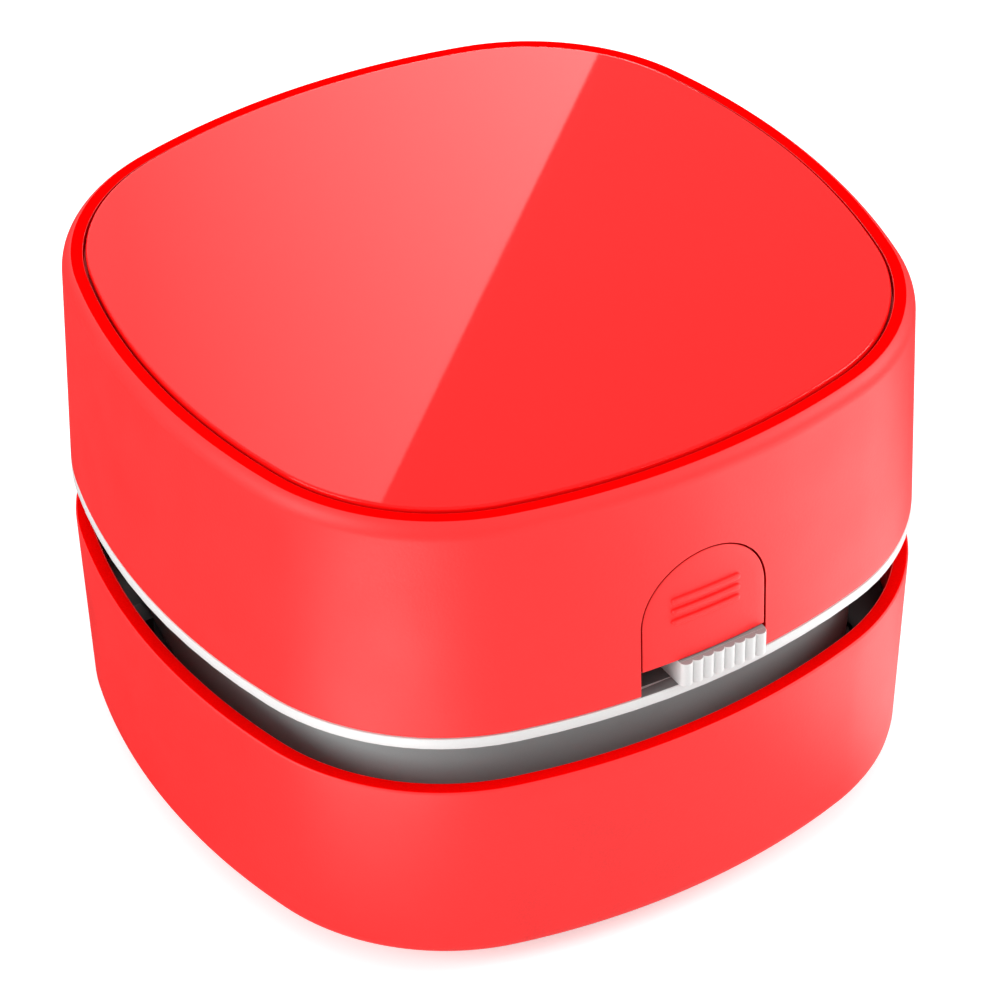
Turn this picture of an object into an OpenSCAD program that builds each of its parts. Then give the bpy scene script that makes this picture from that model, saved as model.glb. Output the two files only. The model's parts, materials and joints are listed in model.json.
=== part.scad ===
// Desktop mini vacuum cleaner, millimetres.
// The origin is at the middle of the surface it stands on, +Z is up, and the
// push tab and the slide switch are on the -Y side.
// Four bodies come apart: a lower unit with the dust bin, brushes and nozzle, a
// main unit with the fan, motor, cells and switch, a top cover, and small
// moving pieces (knob, push tab, motor shaft with its impeller).

/* [Housing] */
// Width of both shells at the waist
body_w = 85; // [84:0.5:92]
// Radius of the long curve of each side
side_r = 80.7; // [74:0.1:90]
// Radius of the corners
corner_r = 26.35; // [24:0.05:30]
// Height of the upper shell, with its top plate
upper_h = 27; // [26.8:0.1:32]
// Height of the lower shell
lower_h = 24; // [22:0.5:30]
// Height of the open gap at the waist
waist_gap = 6; // [5:0.1:9]
// Thickness of the chassis deck, whose edge shows as a ring
deck_t = 1.3; // [1.1:0.1:2]
// Inward lean of the upper shell at its top
upper_draft = 0.85; // [0.4:0.05:1.5]
// Inward lean of the lower shell at its base
lower_draft = 0.8; // [0.4:0.05:1.2]
// Wall of the upper shell
upper_wall = 1.6; // [1.2:0.1:1.8]
// Wall of the lower shell
lower_wall = 1.4; // [1.2:0.1:2]
// Floor of the lower shell
lower_floor = 2.2; // [2:0.1:3]
// Roof of the upper shell below the top plate
upper_roof = 1.2; // [0.8:0.1:1.3]
// Radius of the upper shell's top edge
top_fillet = 2.3; // [1.6:0.1:2.4]
// Radius of the lower shell's bottom edge
base_fillet = 2; // [1:0.1:3]

/* [Top plate] */
// Distance of the plate's edge from the upper outline
plate_inset = 2.6; // [2.4:0.1:5]
// Thickness of the plate
plate_t = 1.4; // [1.2:0.1:1.6]
// Height of the plate above the rim round it
plate_proud = 0.35; // [0.1:0.05:0.5]
// Bevel of the plate's edge
plate_bevel = 0.25; // [0.1:0.05:0.4]
// Gap round the plate
plate_gap = 0.25; // [0.15:0.05:0.4]
// Radius of the locating pegs below the plate
peg_r = 1.2; // [0.8:0.1:2]
// Distance of the pegs from the middle planes
peg_at = 24; // [20:0.5:26]

/* [Push tab] */
// Width of the tab
tab_w = 15; // [13:0.5:16]
// Height of the tab's arch above the shell's edge
tab_top = 16.1; // [15.6:0.1:19]
// Height of the open notch below the tab
notch_h = 3.4; // [3.3:0.1:4]
// Gap round the tab
tab_gap = 0.2; // [0.15:0.05:0.4]
// Depth that the tab is pressed in
tab_travel = 1.6; // [1.4:0.1:1.8]
// Width of the flange that keeps the tab behind the shell
tab_lip = 0.9; // [0.6:0.1:1.2]
// Thickness of that flange
tab_lip_t = 0.8; // [0.6:0.1:1]
// Width of the latch hook
hook_w = 8; // [6:0.5:9]
// Thickness of the latch hook
hook_t = 1.3; // [1.1:0.1:1.5]
// Overlap of the hook below the catch
hook_bite = 1; // [0.8:0.1:1.3]
// Mean radius of the tab's spring
tab_spring_r = 2.3; // [2:0.1:2.6]
// Radius of its wire
tab_wire_r = 0.18; // [0.15:0.01:0.2]

/* [Slide switch] */
// Width of the grooved knob
knob_w = 10.6; // [10:0.1:11]
// Height of the knob
knob_h = 3; // [2.6:0.1:3.1]
// Distance that the knob stands out of the shell's face
knob_proud = 0.9; // [0.6:0.1:1.4]
// Travel of the knob
knob_travel = 4; // [3:0.1:4]
// Number of round ridges on the knob
knob_ridges = 8; // [5:1:10]
// Radius of a ridge
ridge_r = 0.75; // [0.72:0.01:0.8]
// Width of the switch case
switch_w = 15; // [14:0.1:16]
// Depth of the switch case
switch_d = 4.2; // [3.8:0.1:5]
// Height of the switch case
switch_h = 3.4; // [3:0.1:3.6]

/* [Fan and filter] */
// Distance of the fan housing inside the waist outline
housing_inset = 6.25; // [5.5:0.05:7]
// Wall of the fan housing
housing_wall = 1.5; // [1.2:0.1:2]
// Radius of the impeller
impeller_r = 25; // [22:0.5:27]
// Number of impeller blades
blade_count = 9; // [7:1:12]
// Height of the blades
blade_h = 6; // [4:0.1:7]
// Thickness of a blade
blade_t = 1; // [0.8:0.1:1.4]
// Radius of the round inlet to the fan
eye_r = 11; // [9:0.5:13]
// Number of exhaust slots in the rear wall
slot_count = 7; // [5:1:7]
// Width of an exhaust slot
slot_w = 4.6; // [3:0.1:4.8]
// Height of an exhaust slot
slot_h = 8; // [6:0.1:9]
// Outer radius of the filter frame
filter_r = 30; // [27:0.5:30]
// Depth of the filter frame
filter_h = 5; // [4.6:0.1:6]
// Thickness of the filter foam
foam_t = 2.8; // [2:0.1:3]

/* [Lower unit] */
// Height of the bin deck's top below the rim of the lower shell
deck_drop = 9.5; // [8.5:0.1:11]
// Thickness of the bin deck
bin_deck_t = 2.2; // [2:0.1:3]
// Radius of the round suction mouth
mouth_r = 9; // [7:0.1:10]
// Height of the suction tube above the shell's base
tube_h = 8.5; // [7.4:0.1:8.6]
// Radius of the nozzle's round flange
nozzle_r = 28; // [27:0.5:30]
// Mean radius of the ring of bristles
brush_r = 20; // [19:0.1:21]
// Width of the bristle strips
brush_w = 2.8; // [2.4:0.1:3]
// Angle that each bristle strip spans
brush_span = 70; // [60:1:74]
// Length of bristle below the base
bristle_out = 2.5; // [1.5:0.1:3]
// Number of tufts in a strip
tufts = 12; // [8:1:12]
// Number of strands in a tuft
tuft_strands = 8; // [5:1:9]
// Radius of a strand
strand_r = 0.22; // [0.18:0.01:0.26]

/* [Motor] */
// Diameter over the motor's round sides
motor_d = 20.1; // [19.6:0.1:20.4]
// Width over the motor's flat sides
motor_flat = 15.1; // [14.6:0.1:15.4]
// Length of the steel can
can_l = 19.6; // [18:0.1:19.8]
// Length of the plastic end cap
cap_l = 3.5; // [3:0.1:3.8]
// Thickness of the can
can_t = 0.8; // [0.6:0.1:1]
// Radius of the shaft
shaft_r = 1; // [0.75:0.05:1.25]
// Radius of the armature
armature_r = 6.1; // [5.5:0.1:6.2]
// Thickness of the strap that holds the motor
strap_t = 1.2; // [1:0.1:1.3]

/* [Cells] */
// Radius of a cell
cell_r = 7.1; // [6.9:0.05:7.2]
// Length of a cell, with its button
cell_l = 50.5; // [49:0.1:51]
// Distance of each cell's axis from the middle plane
cell_y = 17.2; // [17:0.1:18]
// Space below the cells for the wires
cell_lift = 1.7; // [1.5:0.1:2]
// Compressed length of the contact springs
spring_l = 3.2; // [2.8:0.1:3.6]
// Radius of the contact springs' wire
spring_wire_r = 0.25; // [0.2:0.01:0.28]
// Thickness of the contact plates
contact_t = 0.4; // [0.3:0.05:0.5]
// Radius of the insulated wires
lead_r = 0.55; // [0.45:0.05:0.6]

/* [Screws] */
// Radius of the pilot holes for the screws
screw_r = 1; // [0.9:0.05:1.1]
// Length of the screws
screw_l = 6.5; // [5.5:0.1:6.8]
// Radius of their heads
head_r = 1.9; // [1.7:0.1:2]
// Height of their heads
head_h = 1; // [0.8:0.1:1.1]
// Radius of the pilot holes for the small screws
small_r = 0.85; // [0.75:0.05:0.9]
// Radius of the small heads
small_head_r = 1.6; // [1.5:0.05:1.7]
// Height of the small heads
small_head_h = 0.55; // [0.5:0.05:0.6]
// Bite of a screw's thread in the wall of its pilot hole
thread_bite = 0.05; // [0.02:0.01:0.08]

/* [Clearances] */
// Seam between pieces that come apart
seam = 0.1; // [0.05:0.01:0.2]
// Space beside pieces that slide or lift
slide_gap = 0.3; // [0.25:0.05:0.4]
// Space beside pieces that are fixed
fit_gap = 0.15; // [0.1:0.05:0.25]
// Running clearance of the shaft in its bushes
run_gap = 0.03; // [0.02:0.01:0.08]

/* [Hidden] */

// Colours
red = [0.93, 0.07, 0.05];
red_gloss = [0.96, 0.20, 0.18];
white = [0.93, 0.93, 0.92];
black = [0.09, 0.09, 0.10];
steel = [0.72, 0.73, 0.75];
brass = [0.80, 0.65, 0.32];
copper = [0.74, 0.38, 0.20];

// Outline of the housing: four long side arcs joined by four corner arcs.
// Every other outline is inset from it along the same radii.
half_w = body_w / 2;
side_c = side_r - half_w;
turn = acos(side_c / (side_r - corner_r) / sqrt(2)) - 45;
corner_c = (side_r - corner_r) * sin(turn);
side_steps = 10;
corner_steps = 14;
function quarter(off) = concat(
    [for (i = [0:side_steps - 1])
        let (a = -turn + 2 * turn * i / side_steps)
        [(side_r - off) * cos(a) - side_c, (side_r - off) * sin(a)]],
    [for (i = [0:corner_steps - 1])
        let (a = turn + (90 - 2 * turn) * i / corner_steps)
        [corner_c + (corner_r - off) * cos(a), corner_c + (corner_r - off) * sin(a)]]);
function turned(p, a) = [p[0] * cos(a) - p[1] * sin(a), p[0] * sin(a) + p[1] * cos(a)];
function outline(off) = [for (q = [0:3]) for (p = quarter(off)) turned(p, 90 * q)];
// Distance of a side's surface from the middle plane, at x along that side
function side_at(x, off) = sqrt(pow(side_r - off, 2) - x * x) - side_c;
// Half the length of a side's long curve
function side_half(off) = (side_r - off) * sin(turn);
// Both coordinates of a corner's surface where it crosses the diagonal
function corner_at(off) = corner_c + (corner_r - off) / sqrt(2);

// Heights
base_z = bristle_out;
rim_z = base_z + lower_h;
ring_z = rim_z + waist_gap;
deck_z = ring_z + deck_t;
top_z = deck_z + upper_h;
floor_z = base_z + lower_floor;
bin_deck_top = rim_z - deck_drop;
bin_deck_low = bin_deck_top - bin_deck_t;
housing_z = bin_deck_top + seam;
housing_floor = housing_z + housing_wall;
filter_z = housing_z - filter_h;
plate_z = top_z - plate_t;
roof_z = plate_z - upper_roof;
rim_top = top_z - plate_proud;
cell_z = deck_z + cell_lift + cell_r;

// Inset of each shell's drafted face at a height
function upper_off(z) = upper_draft * (z - deck_z) / upper_h;
function lower_off(z) = lower_draft * (rim_z - z) / lower_h;
eps = 0.01;

// A solid lofted through rings of [inset, height]: first and last are closed
module loft(rings) {
    n = len(outline(0));
    points = [for (r = rings) for (p = outline(r[0])) [p[0], p[1], r[1]]];
    sides = [for (k = [0:len(rings) - 2]) for (i = [0:n - 1])
        [k * n + i, (k + 1) * n + i, (k + 1) * n + (i + 1) % n, k * n + (i + 1) % n]];
    first = [for (i = [0:n - 1]) i];
    last = [for (i = [n - 1:-1:0]) (len(rings) - 1) * n + i];
    polyhedron(points, concat([first], sides, [last]));
}

module prism(off, low, high) {
    translate([0, 0, low])
        linear_extrude(high - low)
            polygon(outline(off));
}

module ring_wall(off, wall, low, high) {
    difference() {
        prism(off, low, high);
        prism(off + wall, low - 1, high + 1);
    }
}

module tube(r_out, r_in, low, high) {
    translate([0, 0, low])
        difference() {
            cylinder(r = r_out, h = high - low, $fn = 96);
            translate([0, 0, -1])
                cylinder(r = r_in, h = high - low + 2, $fn = 96);
        }
}

// Four copies at the corners of a square
module at_corners(at) {
    for (sx = [-1, 1])
        for (sy = [-1, 1])
            translate([sx * at, sy * at, 0])
                children();
}

// Two mirrored copies on the x axis
module at_sides(at) {
    for (s = [-1, 1])
        translate([s * at, 0, 0])
            children();
}

// An arch in the xz plane, through y from near to far
module arch(w, low, high, near, far) {
    translate([0, far, 0])
        rotate([90, 0, 0])
            linear_extrude(far - near)
                intersection() {
                    union() {
                        translate([-w / 2, low])
                            square([w, high - w / 2 - low]);
                        translate([0, high - w / 2])
                            circle(r = w / 2, $fn = 64);
                    }
                    translate([-w, low])
                        square([2 * w, high - low + 1]);
                }
}

// A box from its low corner to its high corner
module box(a, b) {
    translate(a)
        cube(b - a);
}

// A screw with its head's underside at z = 0 and its shank going down
module any_screw(r, len, cap_r, cap_h) {
    translate([0, 0, -len])
        cylinder(r = r - thread_bite, h = len + eps, $fn = 24);
    difference() {
        cylinder(r = cap_r, h = cap_h, $fn = 32);
        for (a = [0, 90])
            rotate(a)
                translate([-cap_r * 0.6, -cap_r * 0.12, cap_h * 0.5])
                    cube([cap_r * 1.2, cap_r * 0.24, cap_h]);
    }
}
module screw() { any_screw(screw_r, screw_l, head_r, head_h); }
module small_screw(len) { any_screw(small_r, len, small_head_r, small_head_h); }

// What a screw needs: a pilot hole down from z = 0, a clearance hole, a counterbore
pilot_gap = 0.5;
module pilot_hole() {
    translate([0, 0, -screw_l - pilot_gap])
        cylinder(r = screw_r, h = screw_l + pilot_gap + 1, $fn = 24);
}
module clear_hole(low, high) {
    translate([0, 0, low - 1])
        cylinder(r = screw_r + fit_gap, h = high - low + 2, $fn = 24);
}
module head_room() {
    cylinder(r = head_r + slide_gap, h = head_h + slide_gap + 1, $fn = 32);
}

// A round wire along a list of points
function unit(v) = v / norm(v);
function tangent(path, i) =
    unit(path[min(i + 1, len(path) - 1)] - path[max(i - 1, 0)]);
function across(t) = unit(cross(t, abs(t[2]) < 0.8 ? [0, 0, 1] : [0, 1, 0]));
function frames(path, i, side) =
    i >= len(path) ? [] :
    let (t = tangent(path, i))
    let (s = unit(side - t * (side * t)))
    concat([[s, cross(t, s)]], frames(path, i + 1, s));
module wire(path, r, n) {
    axes = frames(path, 0, across(tangent(path, 0)));
    points = [for (i = [0:len(path) - 1]) for (k = [0:n - 1])
        path[i] + r * (cos(360 * k / n) * axes[i][0] + sin(360 * k / n) * axes[i][1])];
    sides = [for (i = [0:len(path) - 2]) for (k = [0:n - 1]) for (f = [0, 1])
        let (a = i * n + k, b = i * n + (k + 1) % n)
        f == 0 ? [a, a + n, b + n] : [a, b + n, b]];
    first = [for (k = [0:n - 1]) k];
    last = [for (k = [n - 1:-1:0]) (len(path) - 1) * n + k];
    polyhedron(points, concat([first], sides, [last]));
}

// A coil along +z from z = 0, its mean radius going from r0 to r1
function coil(r0, r1, l, turns, steps) = [for (i = [0:turns * steps])
    let (u = i / (turns * steps), r = r0 + (r1 - r0) * u, a = 360 * i / steps)
    [r * cos(a), r * sin(a), l * u]];
// Least space between one turn and the next
function coil_gap(r0, r1, l, turns, wire_r) =
    norm([(r1 - r0) / turns, l / turns]) - 2 * wire_r;

// ---------------------------------------------------------------- lower unit

lower_in = lower_off(bin_deck_low) + lower_wall;
post_r = 3.2;
post_web = 2.6;
post_at = corner_at(lower_in + post_r + post_web);
web_t = 1.2;
post_top = bin_deck_low;
deck_screw_z = bin_deck_top - head_h - slide_gap;
floor_fillet = 1.2;
nozzle_flange_w = 4;
nozzle_flange_t = 1.1;
nozzle_step = nozzle_r - nozzle_flange_w;
nozzle_top = floor_z + 1.6;
nozzle_screw_at = nozzle_r - nozzle_flange_w / 2;
nozzle_screw_l = 1.5;
nozzle_head_z = base_z + small_head_h + 0.05;
tube_top = base_z + tube_h;
tube_wall = 1.4;

lower_rings = concat(
    [for (i = [0:4]) let (a = 90 - 90 * i / 4, z = base_z + base_fillet * (1 - sin(a)))
        [lower_off(base_z + base_fillet) + base_fillet * (1 - cos(a)), z]],
    [[0, rim_z], [lower_wall, rim_z],
    [lower_off(floor_z + floor_fillet) + lower_wall, floor_z + floor_fillet],
    [lower_off(floor_z) + lower_wall + floor_fillet, floor_z]]);

// Red dust bin shell, with the corner posts that carry the deck
module lower_shell() {
    color(red)
        difference() {
            union() {
                loft(lower_rings);
                at_corners(post_at)
                    translate([0, 0, floor_z - 0.5])
                        cylinder(r = post_r, h = post_top - floor_z + 0.5, $fn = 48);
                for (q = [0:3])
                    rotate(45 + 90 * q)
                        box([post_at * sqrt(2), -web_t / 2, floor_z - 0.5],
                            [corner_at(lower_in - lower_wall / 2) * sqrt(2), web_t / 2,
                            post_top - 1]);
            }
            translate([0, 0, base_z - 1])
                cylinder(r = nozzle_r + fit_gap, h = nozzle_flange_t + 1, $fn = 96);
            cylinder(r = nozzle_step + fit_gap, h = floor_z + 1, $fn = 96);
            for (q = [0:2])
                rotate(30 + 120 * q)
                    translate([nozzle_screw_at, 0, 0])
                        cylinder(r = small_r, h = floor_z + 1, $fn = 24);
            at_corners(post_at)
                translate([0, 0, deck_screw_z])
                    pilot_hole();
        }
}

lug_from = 11;
lug_to = 14;
lug_h = 3.5;
lug_in = half_w - housing_inset + slide_gap;
lug_out = side_at(lug_to, lower_in) - fit_gap;
deck_hole_r = filter_r + 1;

// Black deck that closes the bin round the filter
module bin_deck() {
    color(black) {
        difference() {
            prism(lower_in + fit_gap, bin_deck_low, bin_deck_top);
            translate([0, 0, bin_deck_low - 1])
                cylinder(r = deck_hole_r, h = bin_deck_t + 2, $fn = 96);
            at_corners(post_at) {
                clear_hole(bin_deck_low, bin_deck_top);
                translate([0, 0, deck_screw_z])
                    head_room();
            }
        }
        for (q = [0:3])
            rotate(90 * q)
                box([lug_in, -lug_to, bin_deck_top - eps], [lug_out, -lug_from, bin_deck_top + lug_h]);
    }
}

module bin_deck_screws() {
    color(steel)
        at_corners(post_at)
            translate([0, 0, deck_screw_z])
                screw();
}

groove_in = brush_r - brush_w / 2 - fit_gap;
groove_out = brush_r + brush_w / 2 + fit_gap;
groove_top = base_z + 2.5;
flare_r = mouth_r + 5;
flare_h = 3.5;

// Black nozzle: flared mouth, suction tube and the groove for the bristle strips
module nozzle_insert() {
    flare = [for (i = [0:4]) let (a = 90 * i / 4)
        [mouth_r + (flare_r - mouth_r) * (1 - cos(a)), base_z + flare_h * (1 - sin(a))]];
    profile = concat(flare,
        [[groove_in, base_z], [groove_in, groove_top], [groove_out, groove_top],
        [groove_out, base_z], [nozzle_r, base_z], [nozzle_r, base_z + nozzle_flange_t],
        [nozzle_step, base_z + nozzle_flange_t], [nozzle_step, nozzle_top],
        [mouth_r + tube_wall, nozzle_top], [mouth_r + tube_wall, tube_top],
        [mouth_r, tube_top]]);
    color(black)
        difference() {
            rotate_extrude($fn = 96)
                polygon(profile);
            for (q = [0:2])
                rotate(30 + 120 * q)
                    translate([nozzle_screw_at, 0, base_z - 1]) {
                        cylinder(r = small_r + fit_gap, h = nozzle_flange_t + 2, $fn = 24);
                        cylinder(r = small_head_r + 0.1, h = nozzle_head_z - base_z + 1, $fn = 32);
                    }
        }
}

module nozzle_screws() {
    color(steel)
        for (q = [0:2])
            rotate(30 + 120 * q)
                translate([nozzle_screw_at, 0, nozzle_head_z])
                    rotate([180, 0, 0])
                        small_screw(nozzle_screw_l);
}

strip_low = base_z + 0.9;

// Strands of one bristle strip: tufts stand in a row along its arc, and the
// strands of a tuft stand in a ring and spread a little to their flat tips
function strand_top(t, s) =
    let (a = brush_span * ((t + 0.5) / tufts - 0.5), b = 360 * s / tuft_strands + 20)
    [brush_r * cos(a) + 0.55 * cos(a + b), brush_r * sin(a) + 0.55 * sin(a + b),
    strip_low + 0.3];
function strand_tip(t, s) =
    let (a = brush_span * ((t + 0.5) / tufts - 0.5), b = 360 * s / tuft_strands + 20)
    [brush_r * cos(a) + 0.8 * cos(a + b), brush_r * sin(a) + 0.8 * sin(a + b), 0];

module brush_strip(turn_by) {
    corners = [for (k = [0:2]) strand_r * [cos(120 * k), sin(120 * k), 0]];
    points = [for (t = [0:tufts - 1]) for (s = [0:tuft_strands - 1])
        for (end = [strand_tip(t, s), strand_top(t, s)]) for (c = corners) end + c];
    faces = [for (m = [0:tufts * tuft_strands - 1]) let (b = 6 * m)
        for (f = [[0, 1, 2], [5, 4, 3], [0, 3, 4], [0, 4, 1], [1, 4, 5], [1, 5, 2],
            [2, 5, 3], [2, 3, 0]]) [b + f[0], b + f[1], b + f[2]]];
    color(white)
        rotate(turn_by) {
            polyhedron(points, faces);
            rotate(-brush_span / 2)
                rotate_extrude(angle = brush_span, $fn = 96)
                    translate([brush_r - brush_w / 2, strip_low])
                        square([brush_w, groove_top - strip_low]);
        }
}

module brush_right() { brush_strip(0); }
module brush_rear() { brush_strip(90); }
module brush_left() { brush_strip(180); }
module brush_front() { brush_strip(270); }

// ------------------------------------------------------------- fan and filter

boss_r = 2.8;
boss_web = 1.3;
boss_at = corner_at(housing_inset + housing_wall + boss_r + boss_web);
slot_pitch = 2 * side_half(housing_inset) / (slot_count - 1);
slot_z = ring_z - 2.5 - slot_h;

// White fan housing: floor with the inlet, rounded wall, exhaust slots behind
module fan_housing() {
    color(white)
        difference() {
            union() {
                ring_wall(housing_inset, housing_wall, housing_z, ring_z);
                prism(housing_inset + housing_wall / 2, housing_z, housing_floor);
                tube(filter_r - 1.6, filter_r - 3, filter_z + 1.3 + foam_t, housing_z + eps);
                tube(eye_r + 1.2, eye_r, housing_floor - eps, housing_floor + 1);
                at_corners(boss_at)
                    translate([0, 0, housing_floor - 0.5])
                        cylinder(r = boss_r, h = ring_z - housing_floor + 0.5, $fn = 32);
            }
            translate([0, 0, housing_z - 1])
                cylinder(r = eye_r, h = housing_wall + 3, $fn = 96);
            at_corners(boss_at)
                translate([0, 0, deck_z])
                    pilot_hole();
            for (i = [0:slot_count - 1])
                translate([(i - (slot_count - 1) / 2) * slot_pitch, half_w, 0])
                    rotate([90, 0, 0])
                        linear_extrude(housing_inset + housing_wall + 4) {
                            translate([-slot_w / 2, slot_z + slot_w / 2])
                                square([slot_w, slot_h - slot_w]);
                            for (z = [slot_z + slot_w / 2, slot_z + slot_h - slot_w / 2])
                                translate([0, z])
                                    circle(r = slot_w / 2, $fn = 24);
                        }
        }
}

module housing_screws() {
    color(steel)
        at_corners(boss_at)
            translate([0, 0, deck_z])
                screw();
}

frame_wall = 1.2;
grid_t = 1.2;
seal_low = bin_deck_low + 0.5;
seal_high = bin_deck_top - 0.3;
seal_depth = 0.5;

// Black filter frame that hangs into the bin: wall, seal groove, grid floor
module filter_frame() {
    color(black) {
        difference() {
            tube(filter_r, filter_r - frame_wall, filter_z, housing_z);
            tube(filter_r + 1, filter_r - seal_depth, seal_low, seal_high);
        }
        for (k = [1:3])
            tube(filter_r * k / 4 + 0.5, filter_r * k / 4 - 0.5, filter_z, filter_z + grid_t);
        for (q = [0:5])
            rotate(60 * q)
                box([4 - eps, -0.5, filter_z], [filter_r - frame_wall / 2, 0.5, filter_z + grid_t]);
        translate([0, 0, filter_z])
            cylinder(r = 4.5, h = grid_t, $fn = 48);
    }
}

module filter_foam() {
    color([0.55, 0.56, 0.58])
        translate([0, 0, filter_z + grid_t])
            cylinder(r = filter_r - frame_wall - fit_gap, h = foam_t, $fn = 96);
}

module filter_seal() {
    color([0.2, 0.2, 0.21])
        tube(filter_r + 0.7, filter_r - seal_depth, seal_low + 0.05, seal_high - 0.05);
}

// -------------------------------------------------------------------- chassis

seat_t = 1.5;
seat_r = 14;
motor_low = ring_z;
can_top = motor_low + can_l;
cap_top = can_top + cap_l;
socket_wall = 1.2;
socket_top = deck_z + 8;
strap_at = 14;
lip_h = 2.5;
lip_off = upper_wall + slide_gap;
front_face = half_w - upper_off(deck_z + 4);
catch_low = deck_z + 5.6;
catch_high = deck_z + 7;
catch_t = 1.2;
catch_near = side_at(tab_w / 2 + tab_lip, upper_off(catch_high) + upper_wall + 0.1 + tab_lip_t)
    - tab_travel - slide_gap;
catch_far = catch_near - catch_t;
catch_in = knob_w / 2 + knob_travel / 2 + 0.9;
catch_out = catch_in + 2;
cell_end = (cell_l + spring_l) / 2;
wall_x = cell_end + contact_t;
wall_t = 1.5;
wall_w = 13;
wall_h = 16.2;
wall_top = deck_z + wall_h;
rib_l = 2;
rib_t = 1;
rib_h = 7;
saddle_x = 17;
saddle_t = 2;
saddle_w = 12.8;
saddle_h = 6.4;
groove_near = front_face - 3.6;
groove_far = groove_near - 1.4;
groove_d = 0.8;
knob_low = deck_z + seam;
knob_back = front_face - 4.1;
switch_front = knob_back - 2.8;
switch_back = switch_front - switch_d;

module motor_outline(grow) {
    intersection() {
        circle(r = motor_d / 2 + grow, $fn = 96);
        square([motor_d + 2 * grow + 2, motor_flat + 2 * grow], center = true);
    }
}

// White chassis: the deck whose edge shows at the waist, and all its seats
module chassis() {
    color(white)
        difference() {
            union() {
                prism(0, ring_z, deck_z);
                ring_wall(lip_off, 1.2, deck_z - eps, deck_z + lip_h);
                translate([0, 0, ring_z - seat_t])
                    cylinder(r = seat_r, h = seat_t + eps, $fn = 96);
                translate([0, 0, deck_z - eps])
                    linear_extrude(socket_top - deck_z)
                        motor_outline(fit_gap + socket_wall);
                at_sides(strap_at)
                    translate([0, 0, deck_z - eps])
                        cylinder(r = 2.4, h = cap_top - deck_z, $fn = 48);
                for (sx = [-1, 1])
                    for (sy = [-1, 1]) {
                        cell_saddle(sx * saddle_x, sy);
                        cell_wall(sx, sy);
                    }
                latch_catch();
                switch_cradle();
            }
            translate([0, 0, motor_low])
                linear_extrude(socket_top)
                    motor_outline(fit_gap);
            translate([0, 0, ring_z - seat_t - 1])
                cylinder(r = 3.1 + fit_gap, h = seat_t + 3, $fn = 48);
            at_sides(strap_at)
                translate([0, 0, cap_top + strap_t])
                    pilot_hole();
            at_corners(boss_at) {
                clear_hole(ring_z, deck_z);
                translate([0, 0, deck_z])
                    head_room();
            }
            // room for the knob and the tab in the lip, and the knob's groove
            box([-catch_out - 0.5, -half_w, deck_z], [catch_out + 0.5, -groove_near, deck_z + lip_h + 1]);
            box([-catch_in, -groove_near, deck_z - groove_d], [catch_in, -groove_far, deck_z + 1]);
            for (s = [-1, 1])
                translate([0, s * cell_y, cell_z])
                    rotate([0, 90, 0])
                        cylinder(r = cell_r + fit_gap, h = 2 * saddle_x + 8, center = true, $fn = 96);
        }
}

module cell_saddle(x, sy) {
    translate([0, sy * cell_y, 0])
        box([x - saddle_t / 2, -saddle_w / 2, deck_z - eps],
            [x + saddle_t / 2, saddle_w / 2, deck_z + saddle_h]);
}

// End wall behind a contact plate, with a rib that stiffens it clear of the wires
module cell_wall(sx, sy) {
    rib_y = wall_w / 2 - rib_t - 0.5;
    translate([0, sy * cell_y, 0])
        mirror([sx < 0 ? 1 : 0, 0, 0]) {
            box([wall_x, -wall_w / 2, deck_z - eps], [wall_x + wall_t, wall_w / 2, wall_top]);
            box([wall_x + wall_t - eps, rib_y, deck_z - eps],
                [wall_x + wall_t + rib_l, rib_y + rib_t, deck_z + rib_h]);
        }
}

// Bar that the push tab's hook grips from below, on two posts
module latch_catch() {
    for (s = [-1, 1])
        box([s > 0 ? catch_in : -catch_out, -catch_near, deck_z - eps],
            [s > 0 ? catch_out : -catch_in, -catch_far + 0.8, catch_high]);
    box([-catch_in - 1, -catch_near, catch_low], [catch_in + 1, -catch_far, catch_high]);
}

// Two cheeks beside the switch case
module switch_cradle() {
    for (s = [-1, 1])
        translate([s * (switch_w / 2 + fit_gap + 0.6), 0, 0])
            box([-0.6, -switch_front + 0.4, deck_z - eps], [0.6, -switch_back, deck_z + 3]);
}

// ---------------------------------------------------------------------- motor

boss_out = 3.1;
bush_r = 2.2;
bump_r = 3.5;
bump_h = 1.4;
magnet_out = motor_d / 2 - can_t - 0.05;
magnet_in = armature_r + 0.4;
magnet_l = 13;
magnet_half = 5.6;

module motor_can() {
    color(steel)
        difference() {
            union() {
                translate([0, 0, motor_low])
                    linear_extrude(can_l)
                        motor_outline(0);
                translate([0, 0, motor_low - seat_t])
                    cylinder(r = boss_out, h = seat_t + eps, $fn = 48);
            }
            translate([0, 0, motor_low + can_t])
                linear_extrude(can_l)
                    motor_outline(-can_t);
            translate([0, 0, motor_low - seat_t - 1])
                cylinder(r = bush_r, h = seat_t + can_t + 2, $fn = 48);
        }
}

module motor_end_cap() {
    color([0.88, 0.87, 0.82])
        difference() {
            union() {
                translate([0, 0, can_top])
                    linear_extrude(cap_l)
                        motor_outline(0);
                translate([0, 0, cap_top - eps])
                    cylinder(r = bump_r, h = bump_h, $fn = 48);
            }
            translate([0, 0, can_top - 1])
                linear_extrude(1 + cap_l - 1.2)
                    motor_outline(-can_t);
            translate([0, 0, can_top])
                cylinder(r = bush_r, h = cap_l + bump_h - 0.5, $fn = 48);
            for (s = [-1, 1])
                translate([0, s * terminal_y, can_top])
                    box([-1.1, -0.2, 0], [1.1, 0.2, cap_l + 1]);
        }
}

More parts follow.
